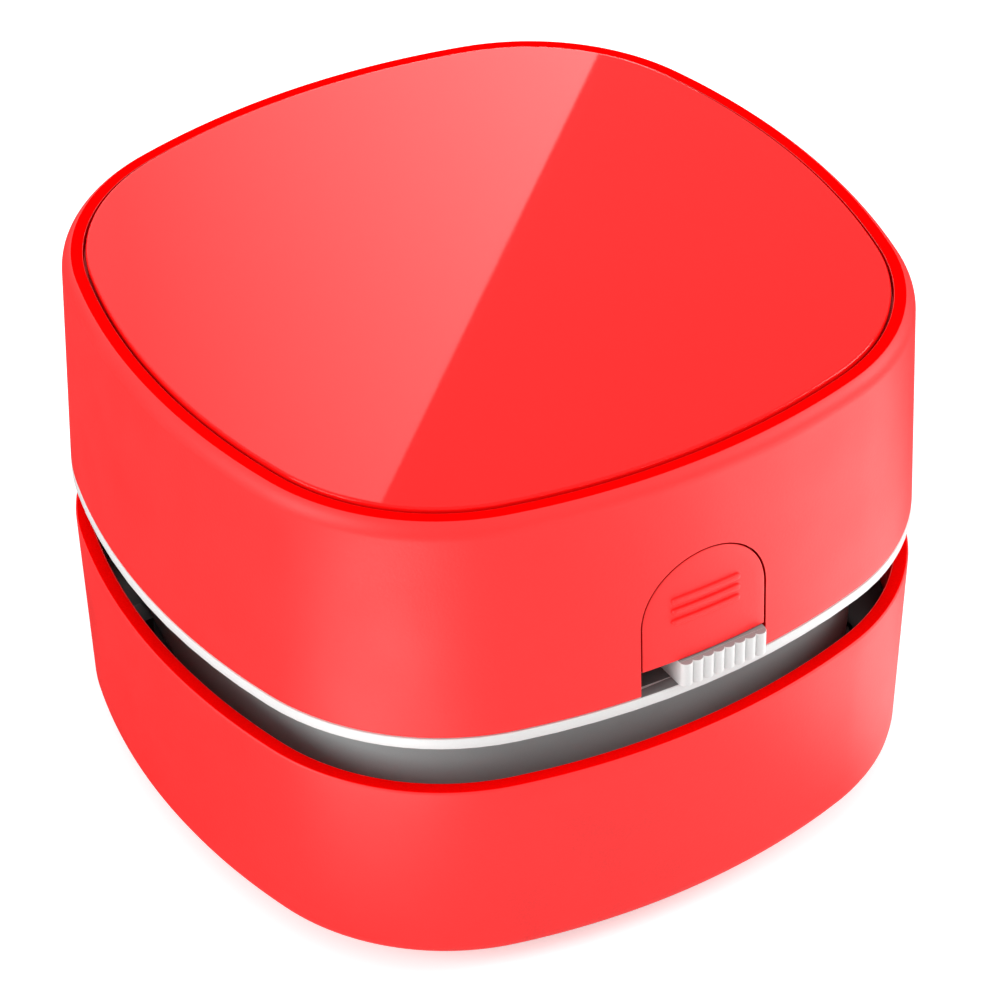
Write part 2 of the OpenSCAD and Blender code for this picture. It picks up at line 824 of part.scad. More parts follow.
module motor_magnets() {
    color([0.25, 0.25, 0.27])
        for (q = [0, 180])
            rotate(q)
                intersection() {
                    tube(magnet_out, magnet_in, can_top - magnet_l - 2.6, can_top - 2.6);
                    box([3, -magnet_half, motor_low], [motor_d, magnet_half, can_top]);
                }
}

module bush(low, high) {
    color(brass)
        tube(bush_r, shaft_r + run_gap, low, high);
}
module front_bush() { bush(motor_low - seat_t, motor_low + can_t); }
module rear_bush() { bush(cap_top - 1.2, cap_top + bump_h - 0.5 - eps); }

terminal_y = motor_flat / 2 - 1.7;
commutator_r = 2.3;
leaf_w = 2;
brush_low = can_top - leaf_w + 0.2;

// Two leaf brushes that press on the commutator
module motor_brushes() {
    color(copper)
        for (s = [-1, 1])
            scale([1, s, 1]) {
                box([-1, commutator_r + 0.1, brush_low],
                    [1, commutator_r + 0.35, brush_low + leaf_w]);
                box([-1, commutator_r + 0.1, brush_low + leaf_w - eps],
                    [1, terminal_y - 0.2, brush_low + leaf_w + 0.25]);
            }
}

module motor_terminals() {
    color(brass)
        for (s = [-1, 1])
            translate([0, s * terminal_y, 0])
                box([-1.1, -0.2, brush_low + 1.6], [1.1, 0.2, cap_top + 1.4]);
}

strap_w = 6.4;

module motor_strap() {
    color(steel)
        difference() {
            union() {
                box([-strap_at, -strap_w / 2, cap_top], [strap_at, strap_w / 2, cap_top + strap_t]);
                at_sides(strap_at)
                    translate([0, 0, cap_top])
                        cylinder(r = strap_w / 2, h = strap_t, $fn = 48);
                translate([0, 0, cap_top])
                    cylinder(r = bump_r + 1.4, h = strap_t, $fn = 64);
            }
            translate([0, 0, cap_top - 1])
                cylinder(r = bump_r + fit_gap, h = strap_t + 2, $fn = 64);
            at_sides(strap_at)
                clear_hole(cap_top, cap_top + strap_t);
        }
}

module strap_screws() {
    color(steel)
        at_sides(strap_at)
            translate([0, 0, cap_top + strap_t])
                screw();
}

// ---------------------------------------------------------------------- rotor

disc_t = 1.2;
disc_top = ring_z - seat_t - 1.2;
blade_top = disc_top - disc_t;
hub_r = 4;
blade_in = eye_r + 1;

module motor_shaft() {
    color(steel)
        translate([0, 0, blade_top - blade_h + 0.6])
            cylinder(r = shaft_r, h = cap_top + bump_h - 0.8 - (blade_top - blade_h + 0.6), $fn = 32);
}

// A blade leans back against the turn as it goes out to just short of the rim
blade_out = impeller_r - 0.4;
blade_steps = 8;
blade_lean = 46;
function blade_line(off) = [for (i = [0:blade_steps])
    let (r = blade_in + (blade_out - blade_in) * i / blade_steps,
        a = -blade_lean * i / blade_steps + off / r * 180 / PI)
    [r * cos(a), r * sin(a)]];
module impeller() {
    color(black)
        difference() {
            union() {
                translate([0, 0, blade_top - eps])
                    cylinder(r = impeller_r, h = disc_t + eps, $fn = 96);
                translate([0, 0, blade_top - blade_h])
                    cylinder(r = hub_r, h = blade_h, $fn = 48);
                for (k = [0:blade_count - 1])
                    rotate(360 * k / blade_count)
                        translate([0, 0, blade_top - blade_h])
                            linear_extrude(blade_h)
                                polygon(concat(blade_line(-blade_t / 2),
                                    [for (i = [blade_steps:-1:0]) blade_line(blade_t / 2)[i]]));
            }
            translate([0, 0, blade_top - blade_h - 1])
                cylinder(r = shaft_r + eps, h = blade_h + disc_t + 2, $fn = 32);
        }
}

core_low = motor_low + 5;
core_high = can_top - 5;

module armature_core() {
    color([0.45, 0.46, 0.48])
        translate([0, 0, core_low])
            linear_extrude(core_high - core_low)
                difference() {
                    union() {
                        circle(r = 2.4, $fn = 48);
                        for (q = [0:2])
                            rotate(120 * q) {
                                translate([0, -0.9])
                                    square([armature_r - 0.6, 1.8]);
                                intersection() {
                                    difference() {
                                        circle(r = armature_r, $fn = 96);
                                        circle(r = armature_r - 1, $fn = 96);
                                    }
                                    polygon([[0, 0], [armature_r * 2, -armature_r * 2.6],
                                        [armature_r * 2, armature_r * 2.6]]);
                                }
                            }
                    }
                    circle(r = shaft_r + eps, $fn = 32);
                }
}

// Enamelled coils on the three poles, wound proud of the core at both ends
module armature_coils() {
    color(copper)
        for (q = [0:2])
            rotate(120 * q)
                difference() {
                    box([2.8, -1.9, core_low - 1.1], [armature_r - 1.6, 1.9, core_high + 1.1]);
                    box([2, -0.95, core_low - 0.05], [armature_r, 0.95, core_high + 0.05]);
                }
}

module commutator() {
    color(copper)
        translate([0, 0, core_high + 1.4])
            difference() {
                cylinder(r = commutator_r, h = can_top + 1.2 - core_high - 1.4, $fn = 48);
                translate([0, 0, -1])
                    cylinder(r = shaft_r + eps, h = 12, $fn = 32);
                for (q = [0:2])
                    rotate(60 + 120 * q)
                        box([commutator_r - 0.5, -0.2, -1], [commutator_r + 1, 0.2, 12]);
            }
}

// ---------------------------------------------------------- cells and contacts

button_r = 2.75;
button_h = 1;

// A cell along x, with its button at the given side
module cell(sign) {
    profile = [[0, 0], [cell_r - 0.6, 0], [cell_r, 0.5], [cell_r, cell_l - button_h - 0.7],
        [cell_r - 0.7, cell_l - button_h], [button_r, cell_l - button_h], [button_r, cell_l - 0.3],
        [button_r - 0.3, cell_l], [0, cell_l]];
    color([0.30, 0.32, 0.34])
        translate([-sign * (cell_end - spring_l), 0, cell_z])
            rotate([0, sign * 90, 0])
                rotate_extrude($fn = 96)
                    polygon(profile);
}
module front_cell() { translate([0, -cell_y, 0]) cell(1); }
module rear_cell() { translate([0, cell_y, 0]) cell(-1); }

contact_half = 5;
tail_half = 1.5;
tail_low = deck_z + 1.5;

// Contact plate over an end wall, with a solder tail behind it
module contact(sx, y0, y1, tail_y) {
    mirror([sx < 0 ? 1 : 0, 0, 0]) {
        box([cell_end, y0, cell_z - contact_half - 1], [wall_x, y1, wall_top + contact_t]);
        box([wall_x - eps, tail_y - tail_half, wall_top],
            [wall_x + wall_t + contact_t, tail_y + tail_half, wall_top + contact_t]);
        box([wall_x + wall_t, tail_y - tail_half, tail_low],
            [wall_x + wall_t + contact_t, tail_y + tail_half, wall_top + eps]);
    }
}
module contact_plus() {
    color(steel)
        contact(1, -cell_y - contact_half, -cell_y + contact_half, -cell_y);
}
module contact_minus() {
    color(steel)
        contact(1, cell_y - contact_half, cell_y + contact_half, cell_y);
}
module contact_bridge() {
    outer = cell_y + contact_half;
    color(steel)
        for (s = [-1, 1])
            contact(-1, s > 0 ? -eps : -outer, s > 0 ? outer : eps, s * cell_y);
}

coil_turns = 3;
coil_wide = 3.4;
coil_narrow = 2.2;
echo(cell_spring_gap = coil_gap(coil_wide, coil_narrow, spring_l - 2 * spring_wire_r, coil_turns,
    spring_wire_r));

// Conical spring from a contact plate to a cell's flat end
module cell_spring(sx) {
    color(steel)
        translate([sx * (cell_end - spring_wire_r), -sx * -cell_y, cell_z])
            rotate([0, -sx * 90, 0])
                wire(coil(coil_wide, coil_narrow, spring_l - 2 * spring_wire_r, coil_turns, 8),
                    spring_wire_r, 6);
}
module front_cell_spring() { cell_spring(-1); }
module rear_cell_spring() { cell_spring(1); }

// --------------------------------------------------------------------- switch

slider_w = 3;
slider_h = 1.4;
slider_z = deck_z + 1;
switch_z = deck_z;
case_t = 0.4;
knob_x = knob_travel / 2;
slot_half = knob_travel / 2 + slider_w / 2 + slide_gap;

module switch_case() {
    color(steel)
        difference() {
            box([-switch_w / 2, -switch_front, switch_z], [switch_w / 2, -switch_back, switch_z + switch_h]);
            box([-switch_w / 2 + case_t, -switch_front + case_t, switch_z + case_t],
                [switch_w / 2 - case_t, -switch_back + 1, switch_z + switch_h - case_t]);
            box([-slot_half, -switch_front - 1, slider_z - slide_gap],
                [slot_half, -switch_front + 1, slider_z + slider_h + slide_gap]);
        }
}

module switch_base() {
    color([0.55, 0.36, 0.20])
        difference() {
            box([-switch_w / 2 + case_t, -switch_back - 1, switch_z + case_t],
                [switch_w / 2 - case_t, -switch_back + 0.2, switch_z + switch_h - case_t]);
            for (k = [-1:1])
                box([k * 4 - 0.6, -switch_back - 2, slider_z], [k * 4 + 0.6, -switch_back + 2, slider_z + 0.5]);
        }
}

module switch_pins() {
    color(brass)
        for (k = [-1:1])
            box([k * 4 - 0.6, -switch_back - 1.1, slider_z], [k * 4 + 0.6, -switch_back + 3, slider_z + 0.5]);
}

// Black slider that the knob carries through the case's slot
module switch_slider() {
    color(black)
        translate([knob_x, 0, 0]) {
            box([-slider_w / 2, -knob_back - 0.8, slider_z], [slider_w / 2, -switch_front + 1, slider_z + slider_h]);
            box([-slider_w / 2 - 1, -switch_front + case_t + 0.3, slider_z - 0.25],
                [slider_w / 2 + 1, -switch_front + 2.2, slider_z + slider_h + 0.25]);
        }
}

// White knob: a row of round ridges in front, a keel in the deck's groove
module switch_knob() {
    pitch = (knob_w - 2 * ridge_r) / (knob_ridges - 1);
    knob_front = front_face + knob_proud - ridge_r;
    color(white)
        translate([knob_x, 0, 0])
            difference() {
                union() {
                    translate([0, 0, knob_low])
                        linear_extrude(knob_h) {
                            translate([-knob_w / 2, -knob_front])
                                square([knob_w, knob_front - knob_back]);
                            for (k = [0:knob_ridges - 1])
                                translate([-knob_w / 2 + ridge_r + k * pitch, -knob_front])
                                    circle(r = ridge_r, $fn = 32);
                        }
                    box([-2.5, -groove_near + slide_gap, knob_low - groove_d + 0.2],
                        [2.5, -groove_far - slide_gap, knob_low + eps]);
                    box([-slider_w / 2 - 1, -knob_back - eps, knob_low + 0.1],
                        [slider_w / 2 + 1, -knob_back + 1, knob_low + knob_h - 0.3]);
                }
                box([-slider_w / 2 - eps, -knob_back - 0.8 - eps, slider_z - eps],
                    [slider_w / 2 + eps, -knob_back + 2, slider_z + slider_h + eps]);
            }
}

// ---------------------------------------------------------------------- leads

tail_x = wall_x + wall_t + contact_t + lead_r;
pin_y = -switch_back + 3;
lead_z = deck_z + lead_r + 0.15;
riser = [12.6, 7];
over_z = cap_top + 0.8;

module lead(path, tint) {
    color(tint)
        wire(path, lead_r, 8);
}

// Plus contact to the switch, round the housing screw's head and past the saddles
round_x = max(tail_x, boss_at + head_r + lead_r + 0.9);
round_y = -boss_at - head_r - lead_r - 0.6;
lane_y = min(pin_y + 0.4, -cell_y - saddle_w / 2 - lead_r - 0.3);
module lead_battery_plus() {
    lead([[tail_x, -cell_y, tail_low + 4], [tail_x, -cell_y, tail_low + 1.2],
        [tail_x, -cell_y - 2, lead_z + 0.6], [round_x, -cell_y - wall_w / 2 - 1, lead_z],
        [boss_at + head_r + 0.4, round_y, lead_z], [boss_at - head_r - 2, lane_y, lead_z],
        [12, lane_y + 0.2, lead_z], [7, pin_y + 1.8, lead_z + 0.1], [4.8, pin_y + 1.6, slider_z + 0.1],
        [4, pin_y + 0.9, slider_z + 0.25], [4, pin_y + 0.02, slider_z + 0.25]], [0.8, 0.1, 0.1]);
}

// Switch to the motor's front terminal
module lead_motor_plus() {
    lead([[0, pin_y + 0.02, slider_z + 0.25], [0, pin_y + 0.9, slider_z + 0.2],
        [0.3, pin_y + 1.9, slider_z - 0.1], [1.2, pin_y + 3.6, lead_z],
        [5, -cell_y - 2, lead_z], [9, -cell_y + 3, lead_z], [riser[0] - 0.8, -riser[1] - 2, lead_z],
        [riser[0], -riser[1], lead_z + 1.8], [riser[0], -riser[1], lead_z + 6],
        [riser[0], -riser[1], cap_top - 6], [riser[0] - 0.4, -riser[1], cap_top - 1.5],
        [riser[0] - 2.4, -riser[1], over_z - 0.1], [6, -terminal_y - 0.6, over_z],
        [1.2, -terminal_y, over_z]], [0.8, 0.1, 0.1]);
}

// Minus contact to the motor's rear terminal
module lead_motor_minus() {
    lead([[tail_x, cell_y, tail_low + 4], [tail_x, cell_y, tail_low + 1.2],
        [tail_x, cell_y - 2, lead_z + 0.6], [tail_x - 0.2, cell_y - 8, lead_z],
        [tail_x - 3, riser[1] + 0.4, lead_z], [22, riser[1], lead_z], [16, riser[1], lead_z],
        [riser[0] + 1, riser[1], lead_z + 0.8], [riser[0], riser[1], lead_z + 3],
        [riser[0], riser[1], cap_top - 6], [riser[0] - 0.4, riser[1], cap_top - 1.5],
        [riser[0] - 2.4, riser[1], over_z - 0.1], [6, terminal_y + 0.6, over_z],
        [1.2, terminal_y, over_z]], [0.12, 0.12, 0.13]);
}

// ------------------------------------------------------------------ top cover

shell_z = deck_z + seam;
arc_z = top_z - top_fillet;
rim_turn = asin((rim_top - arc_z) / top_fillet);
arc_off = upper_off(arc_z);
recess_off = upper_draft + plate_inset - plate_gap;
upper_rings = concat(
    [[recess_off + 0.6, roof_z], [upper_off(roof_z - 1) + upper_wall, roof_z - 1],
    [upper_off(shell_z) + upper_wall, shell_z], [upper_off(shell_z), shell_z]],
    [for (i = [0:4]) let (a = rim_turn * i / 4)
        [arc_off + top_fillet * (1 - cos(a)), arc_z + top_fillet * sin(a)]],
    [[recess_off, rim_top], [recess_off, plate_z]]);

tab_low = deck_z + notch_h;
arch_top = deck_z + tab_top;
retainer_z = arch_top - 3.9;
retainer_low = deck_z + 9.4;
retainer_high = retainer_z + 3.4;
retainer_far = catch_far - 0.3;
retainer_t = 1.8;
retainer_screw_l = 3.8;
screw_x = tab_w / 2 + 5;

// Red top shell: one lofted skin with the recess for the plate, arch and notch
module top_shell() {
    boss_face = side_at(screw_x, upper_off(retainer_z) + upper_wall / 2);
    color(red)
        difference() {
            union() {
                loft(upper_rings);
                for (s = [-1, 1])
                    translate([s * screw_x, -retainer_far, retainer_z])
                        rotate([90, 0, 0])
                            cylinder(r = 2.2, h = boss_face - retainer_far, $fn = 32);
            }
            arch(tab_w + 2 * tab_gap, deck_z - 1, arch_top + tab_gap, -half_w - 1,
                -front_face + upper_wall + 1);
            at_corners(peg_at)
                translate([0, 0, roof_z - 1])
                    cylinder(r = peg_r + fit_gap, h = upper_roof + 2, $fn = 32);
            for (s = [-1, 1])
                translate([s * screw_x, -retainer_far + 1, retainer_z])
                    rotate([90, 0, 0])
                        cylinder(r = small_r, h = retainer_screw_l - retainer_t + 1.4, $fn = 24);
        }
}

// Glossy plate with a bevelled edge and four pegs staked through the roof
module top_plate() {
    off = upper_draft + plate_inset;
    color(red_gloss) {
        loft([[off, plate_z], [off, top_z - plate_bevel], [off + plate_bevel, top_z]]);
        at_corners(peg_at)
            translate([0, 0, roof_z - 0.4])
                cylinder(r = peg_r, h = upper_roof + 0.4 + eps, $fn = 32);
    }
}

// Skin of the front side between two insets: its drafted face is part of a cone
module front_skin(off_out, off_in, low, high) {
    translate([0, side_c, low])
        difference() {
            cylinder(r1 = side_r - upper_off(low) - off_out, r2 = side_r - upper_off(high) - off_out,
                h = high - low, $fn = 480);
            translate([0, 0, -1])
                cylinder(r1 = side_r - upper_off(low - 1) - off_in,
                    r2 = side_r - upper_off(high + 1) - off_in, h = high - low + 2, $fn = 480);
        }
}

hook_near = catch_far - slide_gap;
hook_far = hook_near - hook_t;
hook_top = catch_high + slide_gap + hook_t;
nose_top = catch_low - slide_gap;
tab_back = front_face - upper_wall - tab_lip_t - 0.1;

// Red push tab: outer skin, flange behind the shell, latch hook, spring post
module push_tab() {
    color(red) {
        intersection() {
            front_skin(0, upper_wall + 0.3, tab_low - 1, arch_top + 1);
            arch(tab_w, tab_low, arch_top, -half_w - 1, -front_face + 5);
        }
        intersection() {
            front_skin(upper_wall + 0.1, upper_wall + 0.1 + tab_lip_t, tab_low - 1, arch_top + 2);
            arch(tab_w + 2 * tab_lip, tab_low + 0.4, arch_top + tab_lip, -half_w, -front_face + 5);
        }
        box([-hook_w / 2, -tab_back - 0.5, catch_high + slide_gap], [hook_w / 2, -hook_far, hook_top]);
        box([-hook_w / 2, -hook_near, nose_top - hook_t], [hook_w / 2, -hook_far, hook_top]);
        box([-hook_w / 2, -hook_near - hook_bite, nose_top - hook_t], [hook_w / 2, -hook_far, nose_top]);
        translate([0, -tab_back + 1.3, retainer_z])
            rotate([90, 0, 0])
                cylinder(r = 1.4, h = 1.8, $fn = 32);
    }
}

tab_spring_from = front_face - upper_off(retainer_z) + upper_off(deck_z + 4) - upper_wall - 0.1
    - tab_lip_t;
tab_spring_to = retainer_far - 1;
tab_turns = 3.5;
echo(tab_spring_gap = coil_gap(tab_spring_r, tab_spring_r,
    tab_spring_from - tab_spring_to - 2 * tab_wire_r, tab_turns, tab_wire_r));

module tab_spring() {
    color(steel)
        translate([0, -tab_spring_from + tab_wire_r, retainer_z])
            rotate([-90, 0, 0])
                wire(coil(tab_spring_r, tab_spring_r, tab_spring_from - tab_spring_to - 2 * tab_wire_r,
                    tab_turns, 8), tab_wire_r, 6);
}

// Bar behind the tab that the spring pushes against
module tab_retainer() {
    color(black)
        difference() {
            union() {
                box([-screw_x, -retainer_far, retainer_low], [screw_x, -retainer_far + retainer_t, retainer_high]);
                for (s = [-1, 1])
                    translate([s * screw_x, -retainer_far + retainer_t, retainer_z])
                        rotate([90, 0, 0])
                            cylinder(r = retainer_high - retainer_z, h = retainer_t, $fn = 48);
            }
            translate([0, -retainer_far + 1, retainer_z])
                rotate([90, 0, 0])
                    cylinder(r = tab_spring_r + 0.5, h = 2, $fn = 48);
            for (s = [-1, 1])
                translate([s * screw_x, -retainer_far + retainer_t + 1, retainer_z])
                    rotate([90, 0, 0])
                        cylinder(r = small_r + fit_gap, h = retainer_t + 2, $fn = 24);
        }
}

module retainer_screws() {
    color(steel)
        for (s = [-1, 1])
            translate([s * screw_x, -retainer_far + retainer_t, retainer_z])
                rotate([-90, 0, 0])
                    small_screw(retainer_screw_l);
}

lower_shell();
bin_deck();
bin_deck_screws();
nozzle_insert();
nozzle_screws();
brush_right();
brush_rear();
brush_left();
brush_front();
fan_housing();
housing_screws();
filter_frame();
filter_foam();
filter_seal();
chassis();
motor_can();
motor_end_cap();
motor_magnets();
front_bush();
rear_bush();
motor_brushes();
motor_terminals();
motor_strap();
strap_screws();
motor_shaft();
impeller();
armature_core();
armature_coils();
commutator();
front_cell();
rear_cell();
contact_plus();
contact_minus();
contact_bridge();
front_cell_spring();
rear_cell_spring();
switch_case();
switch_base();
switch_pins();
switch_slider();
switch_knob();
lead_battery_plus();
lead_motor_plus();
lead_motor_minus();
top_shell();
top_plate();
push_tab();
tab_spring();
tab_retainer();
retainer_screws();
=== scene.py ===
# %% [markdown]
# # A two-tier desktop vacuum cleaner
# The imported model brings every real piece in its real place. This notebook dresses those pieces:
# smooth skins over the faceted solids, then moulded, metal and soft finishes, then light.
# The frame comes first, because everything below is measured from it.

# %% Load the frame
import json
import math
import bmesh
import bpy
from mathutils import Matrix, Vector

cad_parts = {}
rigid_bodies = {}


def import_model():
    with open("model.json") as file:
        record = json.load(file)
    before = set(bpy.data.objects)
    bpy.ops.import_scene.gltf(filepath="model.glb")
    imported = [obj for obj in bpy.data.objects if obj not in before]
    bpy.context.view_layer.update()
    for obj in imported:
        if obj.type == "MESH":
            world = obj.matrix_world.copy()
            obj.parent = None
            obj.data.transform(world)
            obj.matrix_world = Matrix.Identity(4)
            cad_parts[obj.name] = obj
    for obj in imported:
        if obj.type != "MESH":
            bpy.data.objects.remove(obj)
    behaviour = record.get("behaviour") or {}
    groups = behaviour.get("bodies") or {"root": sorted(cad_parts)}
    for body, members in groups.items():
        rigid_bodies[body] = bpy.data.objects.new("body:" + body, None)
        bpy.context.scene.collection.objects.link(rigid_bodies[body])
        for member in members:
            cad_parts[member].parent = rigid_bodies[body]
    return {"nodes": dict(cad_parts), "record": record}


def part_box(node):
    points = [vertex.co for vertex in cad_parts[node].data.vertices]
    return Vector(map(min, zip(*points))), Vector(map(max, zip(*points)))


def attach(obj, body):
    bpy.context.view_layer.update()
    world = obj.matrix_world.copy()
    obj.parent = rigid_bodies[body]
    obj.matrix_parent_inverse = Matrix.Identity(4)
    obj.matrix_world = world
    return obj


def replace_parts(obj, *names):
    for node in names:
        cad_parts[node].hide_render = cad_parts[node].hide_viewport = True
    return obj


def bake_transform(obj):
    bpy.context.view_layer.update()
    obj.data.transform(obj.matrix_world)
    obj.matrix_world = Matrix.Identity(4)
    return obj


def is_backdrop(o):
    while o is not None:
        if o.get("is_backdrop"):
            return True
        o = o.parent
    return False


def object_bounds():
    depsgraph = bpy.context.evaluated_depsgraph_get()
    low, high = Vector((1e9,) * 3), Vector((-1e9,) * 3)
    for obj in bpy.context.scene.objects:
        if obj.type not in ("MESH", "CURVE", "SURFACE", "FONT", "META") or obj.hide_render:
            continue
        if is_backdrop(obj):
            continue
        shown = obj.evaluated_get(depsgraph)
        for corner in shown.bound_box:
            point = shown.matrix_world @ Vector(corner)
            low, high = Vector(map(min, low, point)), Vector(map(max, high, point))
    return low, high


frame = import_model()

MM = 0.001
SAME_POINT = 2e-6
cad_box = [list(map(float, corner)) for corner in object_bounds()]

# %% [markdown]
# Two kinds of node tree follow: one that shapes meshes and one that colours them. Both are mostly
# arithmetic, which is tiresome to wire by hand. So a small class wraps a socket and gives it the
# usual operators, and one method of the tree makes any other node. The same two classes then serve
# Geometry Nodes and materials alike.

# %% A socket that can be calculated with
class Value:
    """One output socket of a node; arithmetic on it adds Math nodes to its tree."""

    def __init__(self, tree, socket):
        self.tree, self.socket = tree, socket

    def __getitem__(self, name):
        """Another output of the same node."""
        return Value(self.tree, self.socket.node.outputs[name])

    def maths(self, operation, *others):
        """One Math node of this value and the others."""
        return self.tree.node("ShaderNodeMath", {"operation": operation}, [self, *others])

    def __add__(self, other): return self.maths("ADD", other)
    def __sub__(self, other): return self.maths("SUBTRACT", other)
    def __mul__(self, other): return self.maths("MULTIPLY", other)
    def __truediv__(self, other): return self.maths("DIVIDE", other)
    def __lt__(self, other): return self.maths("LESS_THAN", other)
    def __abs__(self): return self.maths("ABSOLUTE")
    __radd__, __rmul__ = __add__, __mul__

    def __rsub__(self, other):
        return self.tree.node("ShaderNodeMath", {"operation": "SUBTRACT"}, [other, self])

    def __rtruediv__(self, other):
        return self.tree.node("ShaderNodeMath", {"operation": "DIVIDE"}, [other, self])

    def ramp(self, low, high):
        """0 below low, 1 above high, and smooth between."""
        return self.tree.node("ShaderNodeMapRange", {"interpolation_type": "SMOOTHSTEP"},
                              {"Value": self, "From Min": low, "From Max": high})


class Tree:
    """A node tree that is being written."""

    def __init__(self, tree):
        self.tree = tree

    def node(self, kind, settings=None, values=(), out=0):
        """Make one node: settings first, then socket values or links. Gives its output `out`."""
        made = self.tree.nodes.new(kind)
        for name, setting in (settings or {}).items():
            setattr(made, name, setting)
        for name, value in (values.items() if isinstance(values, dict) else enumerate(values)):
            if isinstance(value, Value):
                self.tree.links.new(value.socket, made.inputs[name])
            else:
                made.inputs[name].default_value = value
        return Value(self, made.outputs[out]) if made.outputs else made

    def vector(self, operation, *values, out="Vector"):
        """Arithmetic on vectors; lengths, distances and dot products come out as "Value"."""
        return self.node("ShaderNodeVectorMath", {"operation": operation}, values, out)

    def blend(self, share, first, second):
        """A colour between two colours."""
        pair = [c if isinstance(c, Value) else (*c, 1) for c in (first, second)]
        return self.node("ShaderNodeMix", {"data_type": "RGBA"},
                         {0: share, 6: pair[0], 7: pair[1]}, out=2)

print("a socket can now be added to, scaled and compared")

# %% [markdown]
# Geometry trees are used the same way each time: a seed mesh carries the modifier, its sizes go in
# by name, and the evaluated result is kept as a plain mesh. Writing that once keeps each piece short.

# %% Growing a mesh from a geometry tree
def geometry_tree(name, sizes):
    """A new tree with a mesh input, named number inputs and a material input."""
    group = bpy.data.node_groups.new(name, "GeometryNodeTree")
    face = group.interface
    face.new_socket("Geometry", in_out="OUTPUT", socket_type="NodeSocketGeometry")
    face.new_socket("Geometry", in_out="INPUT", socket_type="NodeSocketGeometry")
    kinds = {int: "NodeSocketInt", float: "NodeSocketFloat", tuple: "NodeSocketVector"}
    for size, value in sizes.items():
        face.new_socket(size, in_out="INPUT", socket_type=kinds[type(value)]).default_value = value
    face.new_socket("Material", in_out="INPUT", socket_type="NodeSocketMaterial")
    tree = Tree(group)
    given = tree.node("NodeGroupInput")
    return tree, given


def end_tree(tree, shape, given):
    """Every tree ends alike: instances made real, one material."""
    real = tree.node("GeometryNodeRealizeInstances", None, [shape])
    painted = tree.node("GeometryNodeSetMaterial", None,
                        {"Geometry": real, "Material": given["Material"]})
    tree.node("NodeGroupOutput", None, [painted])
    return tree.tree


def plain_object(name, mesh):
    """A mesh as an object at the origin."""
    made = bpy.data.objects.new(name, mesh)
    bpy.context.scene.collection.objects.link(made)
    return made


def evaluated(seed, name):
    """The seed's evaluated mesh as a new plain object; the seed goes away."""
    bpy.context.view_layer.update()
    graph = bpy.context.evaluated_depsgraph_get()
    mesh = bpy.data.meshes.new_from_object(seed.evaluated_get(graph), depsgraph=graph)
    bpy.data.objects.remove(seed)
    mesh.name = name
    return plain_object(name, mesh)


def grow(name, points, group, material, faces=(), **sizes):
    """Run a geometry tree on a seed mesh and keep the result as a plain mesh."""
    mesh = bpy.data.meshes.new(name + "_seed")
    mesh.from_pydata(points, [], faces)
    seed = plain_object(name + "_seed", mesh)
    modifier = seed.modifiers.new("grow", "NODES")
    modifier.node_group = group
    for item in group.interface.items_tree:
        if item.in_out == "INPUT" and item.name in sizes:
            modifier[item.identifier] = sizes[item.name]
        if item.in_out == "INPUT" and item.name == "Material":
            modifier[item.identifier] = material
    return evaluated(seed, name)

print("geometry trees can be grown")

# %% [markdown]
# The housing's outline is a square with curved sides: four long arcs joined by four corner arcs,
# and every wall, recess and plate is inset from it along the same radii. A loft of that outline is
# therefore a rule, not a drawing. The tree takes a profile, whose points hold an inset, a height and
# a closing factor, and sweeps it round. With both radii and both centres at zero, the same tree
# turns round pieces, so it also makes pegs, bosses, posts, ridges and the impeller's disc.

# %% The rounded-square loft as a geometry tree
SIDE_R, CORNER_R, HALF = 80.7, 26.35, 42.5
SIDE_C = SIDE_R - HALF
TURN = math.acos(SIDE_C / (SIDE_R - CORNER_R) / math.sqrt(2)) - math.pi / 4
CORNER_C = (SIDE_R - CORNER_R) * math.sin(TURN)


def loft_tree():
    tree, given = geometry_tree("rounded_square_loft", {
        "Steps": 480, "Side radius": SIDE_R * MM, "Side centre": SIDE_C * MM,
        "Corner radius": CORNER_R * MM, "Corner centre": CORNER_C * MM, "Turn": TURN})
    profile, steps = given["Geometry"], given["Steps"]
    rows = tree.node("GeometryNodeAttributeDomainSize", {"component": "MESH"}, [profile])
    grid = tree.node("GeometryNodeMeshGrid", None,
                     {"Size X": 1.0, "Size Y": 1.0, "Vertices X": steps + 1, "Vertices Y": rows})
    index = tree.node("GeometryNodeInputIndex")
    column = (index / rows).maths("FLOOR")
    row = index - column * rows
    place = tree.node("GeometryNodeInputPosition")
    sample = tree.node("GeometryNodeSampleIndex", {"data_type": "FLOAT_VECTOR"},
                       {"Geometry": profile, "Value": place, "Index": row})
    part = tree.node("ShaderNodeSeparateXYZ", None, [sample])
    inset, closing, height = part["X"], part["Y"], part["Z"]
    angle = column * math.tau / steps
    quarter = (angle / (math.pi / 2) + 0.5).maths("FLOOR")
    local = angle - quarter * (math.pi / 2)
    side = abs(local) < given["Turn"]
    corner = 1 - side
    radius = side * given["Side radius"] + corner * given["Corner radius"] - inset
    out = corner * given["Corner centre"] - side * given["Side centre"] + radius * local.maths("COSINE")
    along = corner * given["Corner centre"] * local.maths("SIGN") + radius * local.maths("SINE")
    swing = quarter * (math.pi / 2)
    cos, sin = swing.maths("COSINE"), swing.maths("SINE")
    spot = tree.node("ShaderNodeCombineXYZ", None, [
        (out * cos - along * sin) * closing, (out * sin + along * cos) * closing, height])
    shaped = tree.node("GeometryNodeSetPosition", None, {"Geometry": grid["Mesh"], "Position": spot})
    welded = tree.node("GeometryNodeMergeByDistance", None,
                       {"Geometry": shaped, "Distance": SAME_POINT})
    return end_tree(tree, welded, given)


